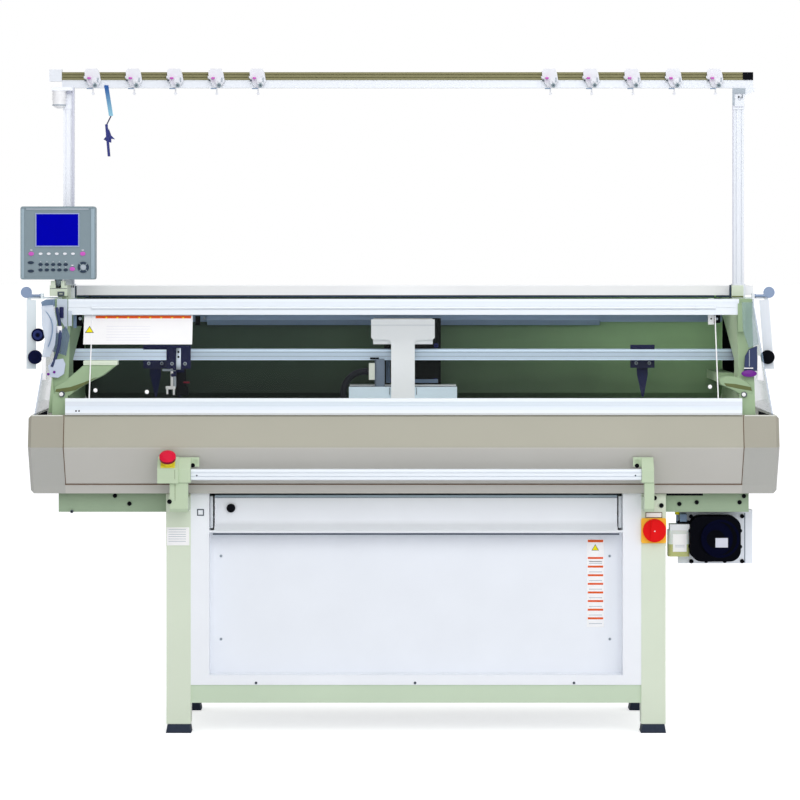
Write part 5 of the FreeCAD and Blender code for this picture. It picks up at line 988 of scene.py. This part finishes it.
def carriage_fittings():
    """Blue screws on the bridge's rear plate, the strips at its foot, and the socket's latch and seams."""
    spots = [(101.5, 1153), (99.5, 1044), (-43.5, 1044)]
    screws("bridge_screws", spots, 102, 7, "blue_screw", 3, "carriage")
    parts = slabs(((32.5, 107.5), (96, 103), (1036.5, 1048), "steel_blue"),
                  ((-54.5, -42), (96, 103), (1036.5, 1114), "steel_blue"))
    fitted("bridge_strips", parts, "carriage")
    parts = slabs(((-102.5, -75), (-112, -92), (1115, 1121), "black", 1),
                  ((-86, -84), (-122.6, -121), (1034, 1114), "dark_grey", 0.2))
    fitted("socket_latch", parts, "carriage")
    parts = [slab((across - 0.8, across + 0.8), (-124, -121), (1008, 1030), "dark_grey", 0.2)
             for across in (-42.5, 39.5)]
    parts.append(slab((-97, 94.5), (-134.5, -133.5), (1220, 1221), "pale_grey", 0.2))
    fitted("bridge_seams", parts, "carriage")


def carrier_fittings():
    """Ring screws on each carrier, and the bright clamp plate of the front one."""
    for body in ("carrier_front", "carrier_middle", "carrier_rear"):
        low, high = box_of("yarn_" + body)
        front = low.y
        x = (low.x + high.x) / 2
        parts = []
        if body == "carrier_front":
            parts.append(slab((x - 7, x + 7), (front - 2, front + 1), (high.z - 74, high.z - 8), "steel"))
            hole = disc((x, high.z - 20), 3.6, (front - 2.6, front - 1), "black", sides=16)
            parts += in_row(hole, 2, 0, -15)
        ring = disc((x - 20, high.z - 56), 5.5, (front - 1.6, front + 1), "pale_grey", sides=20)
        parts += in_row(dished(ring, 2.2, 1.2, "black"), 2, 40)
        fitted("yarn_" + body + "_clamp", parts, body)


def feeder_works():
    """The bright fork, the clamp bar and the dark arms of the yarn finger under the front carrier."""
    low, high = box_of("yarn_carrier_front")
    x = (low.x + high.x) / 2
    row = low.y + 11
    near = (row - 4, row + 4)
    pin = disc((x - 19, 1066), 5.5, (row - 6, row - 1), "navy", sides=20)
    parts = slabs(((x - 25, x - 17), near, (1028, 1094), "label_white", 1),
                  ((x - 50, x - 8), (row - 5, row + 3), (1078, 1085), "pale_grey", 1),
                  ((x - 40, x - 10), near, (1022, 1032), "label_white", 2),
                  ((x - 38, x - 32), near, (1007, 1026), "label_white", 1),
                  ((x - 18, x - 12), near, (1005, 1026), "label_white", 1),
                  ((x - 16, x - 8), (row - 3, row + 6), (1028, 1062), "pale_grey", 2))
    parts += [pin] + slabs(((x - 17, x - 7), near, (1062, 1090), "navy", 1),
                           ((x - 32, x - 24), (row - 1, row + 6), (1008, 1030), "black", 2),
                           ((x - 9, x + 22), (row, row + 13), (1004, 1088), "black", 4),
                           ((x + 14, x + 30), (row, row + 12), (1004, 1031), "black", 4),
                           ((x + 14, x + 33), (row - 3, row + 4), (1041, 1046), "crimson", 1))
    fitted("feeder_works", parts, "carrier_front")


# ---- hood and covers

def casting_face(height):
    """How far forward an end casting reaches at a height: its front edge leans back."""
    low, high = box_of("hood_pane")
    lean = (high.y - low.y) / (high.z - low.z)
    foot_y, foot_z, share = -366, 958, 0.47
    return foot_y + share * lean * (height - foot_z)


def pane_fittings():
    """Two screws in the hood's lower rail, and the clear pane's studs and polished ends."""
    screws("lower_rail_screws", [(-974.5, 970), (-965.5, 970)], front_of("hood_lower_rail"), 2.6, "black",
           0.8, "hood")
    low, high, lean = pane()
    studs = []
    for x, z in ((-918.5, 1030), (-765, 1025.5), (913, 1040.5)):
        y = low.y + (z - low.z) * math.tan(lean)
        stud = disc((x, z), 6, (y - 4, y + 2), "label_white", sides=24)
        studs += tilted([dished(stud, 2.4, 0.8)], lean, (0, y, z))
    fitted("pane_studs", studs, "hood")
    half = (high.z - low.z) / 2 / math.cos(lean) - 3
    middle = (low.z + high.z) / 2
    y = (low.y + high.y) / 2
    edges = [slab((x, x + 3.4), (y - 2.6, y + 2.2), (middle - half, middle + half), "label_white", 0.8)
             for x in (low.x, high.x - 3.4)]
    fitted("pane_edges", tilted(edges, lean, (0, y, middle)), "hood")


def cover_lines():
    """Painted shade along the bend above the front cover's foot, a painted shadow along its top edge, painted
    highlights along the end covers' top edges, and the joints at its ends.
    """
    low, high = box_of("front_cover")
    ledge = (-401.5, -398)
    # A brown line of painted shade at the lower bend, a painted shadow under the hood's lower rail, and
    # painted highlights on the end covers' top edges.
    parts = slabs(((low.x, high.x), (-349.5, -343), (747, 750), "brown", 0.3),
                  ((low.x + 4, high.x - 4), ledge, (953, 957.5), "cover_shade", 0.3),
                  ((-1110, low.x - 3), ledge, (954.5, 957.5), "cover_edge", 0.3),
                  ((high.x + 3, 1110), ledge, (954.5, 957.5), "cover_edge", 0.3))
    fitted("cover_lines", parts)
    top = (-400, 957)
    bend = (-345, 747)
    seams = []
    for end in (top, bend):
        y = (CREASE[0] + end[0]) / 2
        z = (CREASE[1] + end[1]) / 2
        half = math.hypot(end[0] - CREASE[0], end[1] - CREASE[1]) / 2
        lean = math.atan2(end[0] - CREASE[0], end[1] - CREASE[1])
        lean = (lean + math.pi / 2) % math.pi - math.pi / 2
        for x in (-1011.5, 1009.5):
            seam = slab((x, x + 2), (y - 1.4, y + 1), (z - half, z + half), "brown", 0.3)
            seams += tilted([seam], lean, (0, y, z))
    fitted("cover_seams", seams)


# ---- ends of the machine

def end_fittings():
    """A white bumper in a dark ring on each end casting, and the blocks under the hood's rail."""
    parts = []
    for x, z in ((-1021.5, 1018), (1017.5, 1017)):
        face = casting_face(z)
        parts += [disc((x, z), 8.5, (face - 2, face + 8), "dark_grey"),
                  disc((x - 1.5, z), 6, (face - 6, face + 2), "label_white")]
    fitted("bumpers", parts)
    parts = [slab((917.5, 935), (-262, -250), (1224.5, 1303), "label_white", 1),
             slab((936, 954), (-262, -244), (1229, 1303), "black", 1),
             disc((926.5, 1242), 2.6, (-263, -261), "black", sides=16),
             disc((943.5, 1242), 4, (-265, -261), "pale_grey", sides=16),
             slab((-985, -970), (-262, -244), (1220, 1303), "black", 1),
             disc((-974.5, 1242.5), 5, (-265, -261), "pale_grey", sides=16),
             slab((-995.5, -985.5), (-262, -246), (1214, 1303), "steel_blue", 1)]
    fitted("hood_stays", parts)


def left_end_works():
    """What shows through the left clear cover: bracket, guards, hoses and a foot plate."""
    parts = [cut_plate([(-1097.5, 1292), (-1082.5, 1299.5), (-1049, 1301), (-1049, 1280),
                        (-1079.5, 1275), (-1094.5, 1280)], (-216, -196), "steel_blue"),
             slab((-1032, -1020), (-318, -300), (1245, 1278), "navy", 1),
             slab((-1040.5, -1022.5), (-340, -330), (1200.5, 1221.5), "label_white", 2.5),
             slab((-1082.5, -1069), (-352, -344), (1060.5, 1129), "label_white", 1),
             cut_plate([(-1063, 1102), (-1048, 1120), (-1018.5, 1124.5), (-1011, 1108),
                        (-1015.5, 1078.5), (-1033, 1066.5), (-1057, 1069.5)], (-352, -344), "pale_clear"),
             disc((-1044, 1084), 4.5, (-356, -350), "purple", sides=6),
             hose([(-1040, -322, 1276), (-1034, -330, 1240), (-1016, -338, 1196), (-1030, -346, 1150),
                   (-1052, -350, 1100)], 5, "blue_dark"),
             hose([(-1072, -352, 1268), (-1054, -356, 1250), (-1040, -356, 1226), (-1050, -356, 1190),
                   (-1062, -356, 1160)], 1.6, "steel_blue")]
    nut = parts[5]
    fitted("left_end_works", parts + in_row(nut, 2, -18, -6))
    parts = [cut_plate([(-1040.5, 1302), (-1009, 1302), (-1009, 1213.5), (-1013.5, 1212),
                        (-1028.5, 1236), (-1040.5, 1263)], (-308, -303), "clear_pale"),
             # A navy-tinted clear sheet that is painted shade among the left guards.
             cut_plate([(-1061, 1233.5), (-1040, 1236.5), (-1034, 1197.5), (-1010, 1221.5),
                        (-998.5, 1191.5), (-1010, 1132), (-1034, 1141), (-1067, 1149.5)],
                       (-342, -337), "clear_blue_painted_shade"),
             cut_plate([(-1082.5, 1281.5), (-1048, 1284.5), (-1036, 1233.5), (-1042, 1165), (-1057, 1129),
                        (-1081, 1129), (-1072, 1180), (-1081, 1225)], (-354, -350), "clear_pale")]
    fitted("left_end_guards", parts)
    corner = slab((-1006.5, -995.5), (-312, -308.5), (1221, 1266), "clear_pale")
    fitted("hood_corner_plate", [corner], "hood")


def right_end_works():
    """What shows through the right clear cover: a dark case on a purple foot, and an inset panel."""
    parts = [cut_plate([(1021.5, 1131.5), (1033.5, 1152.5), (1057, 1161.5), (1058.5, 1087),
                        (1018.5, 1087)], (-342, -330), "blue_dark"),
             slab((1033, 1035), (-343, -332), (1100, 1150), "pale_grey", 0.4),
             disc((1033, 1079.5), 23, (-350, -336), "purple", squash=0.45),
             slab((1018, 1045), (-347, -336), (1094, 1097), "label_white", 0.3),
             cut_plate([(1058.5, 1135), (1067.5, 1132), (1078, 1057), (1057, 1060)],
                       (-344, -336), "label_white")]
    fitted("right_end_works", parts)
    face = casting_face(1245.5)
    inset = slab((1003, 1026), (face - 0.6, face + 6), (1203.5, 1288.5), "casting", 0.8)
    fitted("right_inset", [dished(inset, 1.6, 0.6)])
    guard = cut_plate([(1011, 1293), (1044, 1293), (1062, 1167.5), (1032, 1155.5), (1014, 1209)],
                      (-350, -346), "clear_green")
    fitted("right_end_guard", [guard])


def rail_haunches():
    """The cast haunches that run from the end castings in under the yarn rails, with olive strips of painted
    shade along their lower curves.
    """
    deep = (-345, -290)
    near = (-346, -343)
    parts = [cut_plate([(-1048, 1011.5), (-1043.5, 1041.5), (-1012, 1058), (-988, 1077.5),
                        (-958, 1104.5), (-859, 1104.5), (-898, 1073), (-919, 1064),
                        (-952, 1046), (-982, 1026.5), (-997, 1011.5)], deep, "casting", 3),
             slab((-958, -856), (-345, -288), (1104.5, 1118), "leg", 1),
             # Olive strip of painted shade along the left haunch's lower curve.
             cut_plate([(-1042.5, 1024.5), (-1039.5, 1033), (-998, 1039), (-962, 1051), (-917, 1069),
                        (-950, 1048), (-983, 1029), (-1016, 1023)], near, "bar_shade"),
             cut_plate([(942, 1065.5), (972, 1071.5), (1002, 1068.5), (1026, 1056.5), (1044, 1035.5),
                        (1044, 1011.5), (1014, 1011.5), (984, 1029.5), (945, 1046)], deep, "casting", 3),
             # Olive strip of painted shade along the right haunch's lower curve.
             cut_plate([(958, 1051), (994, 1048), (1038.5, 1039), (1041.5, 1027.5),
                        (999.5, 1034.5), (964, 1042)], near, "bar_shade"),
             cut_plate([(-1050, 1090), (-1063, 962), (-1048, 962), (-1048, 1090)], (-345, -338), "casting")]
    fitted("rail_haunches", parts)


def knobs_wedges_and_feet():
    """The left knob's blue disc, the openings under the clear covers, and the feet of the posts."""
    face = front_of("side_tension_plates")
    knob = KNOBS[1]
    rim = disc(knob, 14.5, (face - 1.5, face + 1), "disc_blue", sides=36)
    parts = [dished(rim, 3.5, 0.8, "disc_blue"),
             disc(knob, 7, (face - 2, face), "knob_navy"),
             disc(knob, 3, (face - 2.6, face), "black", sides=20)]
    fitted("knob_faces", parts)
    parts = [cut_plate([(-1095.5, 956), (-1062.5, 970.5), (-1062.5, 956)], (-391, -380), "black"),
             cut_plate([(1057, 969), (1094, 957), (1057, 957)], (-391, -380), "black")]
    fitted("cover_wedges", parts)
    parts = slabs(((-1006.5, -1003), (-91, -60), (1303, 1339.5), "slate", 0.4),
                  ((999, 1003), (-91, -60), (1303, 1342.5), "slate", 0.4),
                  ((1003.5, 1040), (-94, -60), (1304, 1341.5), "leg", 1),
                  # The olive strip at the bottom of the right post's foot is painted shade.
                  ((1004.5, 1039.5), (-94.5, -92), (1304.5, 1309), "bar_shade", 0.5))
    fitted("post_feet", parts)


# ---- stage, light and camera

FLOOR_GLOW = 0.62
ROOM_LIGHT = 0.56
LAMP_AIM = (0, 0, 0.9)
EYE = (0.007, -11.1748, 1.419)
LENS = 163.5
SHIFT = -0.175


def stage():
    """A pale floor, which takes the machine's shadow and fades to white."""
    bpy.ops.mesh.primitive_plane_add(size=3000, location=(0, 0, 0))
    floor = bpy.context.object
    floor.name = "floor"
    finish = Finish("floor_white", (236, 237, 240), roughness=0.7)
    finish.tint(finish.toned(finish.noise(900, 3), 0.99, 1.0))
    finish.set("Emission Color", finish.seen())
    finish.set("Emission Strength", FLOOR_GLOW)
    floor.data.materials.append(finish.material)


def light():
    """Soft studio light: an even white room and large lamps in front and above."""
    world = bpy.data.worlds.new("studio")
    bpy.context.scene.world = world
    world.use_nodes = True
    room = Graph(world.node_tree)
    backdrop = world.node_tree.nodes["Background"].inputs
    room.feed(backdrop["Strength"], room.ranged(room.seen(), 0.0, 1.0, ROOM_LIGHT))
    room.feed(backdrop["Color"], (1, 1, 1, 1))
    for name, where, size, power in (("front_lamp", (0.5, -6.0, 3.6), 4.5, 150),
                                     ("right_lamp", (4.5, -4.5, 2.6), 3.0, 30),
                                     ("top_lamp", (0, -0.5, 6.0), 4.0, 45)):
        bpy.ops.object.light_add(type="AREA", location=where)
        made = bpy.context.object
        made.name = name
        made.data.shape = "SQUARE"
        made.data.size = size
        made.data.energy = power
        aim = Vector(LAMP_AIM) - Vector(where)
        made.rotation_euler = aim.to_track_quat("-Z", "Y").to_euler()


def camera():
    """A level view from in front, with a long lens shifted down."""
    bpy.ops.object.camera_add(location=EYE, rotation=(math.pi / 2, 0, 0))
    made = bpy.context.object
    made.name = "camera"
    made.data.sensor_width = 36
    made.data.lens = LENS
    made.data.shift_y = SHIFT
    made.data.clip_end = 200
    bpy.context.scene.camera = made
    bpy.context.scene.view_settings.view_transform = "Standard"


for step in (paint_nodes, panel_fittings, sign_on_hood, cabinet_signs, leg_signs, bed_fittings,
             flap_fittings, bar_fittings, switch_fittings, blower_fittings, bottle_fittings, stand_fittings,
             tension_fittings, lamp_and_table, carriage_fittings, carrier_fittings, pane_fittings,
             cover_lines, end_fittings, left_end_works, right_end_works, rail_haunches,
             knobs_wedges_and_feet, feeder_works, stage, light, camera):
    step()
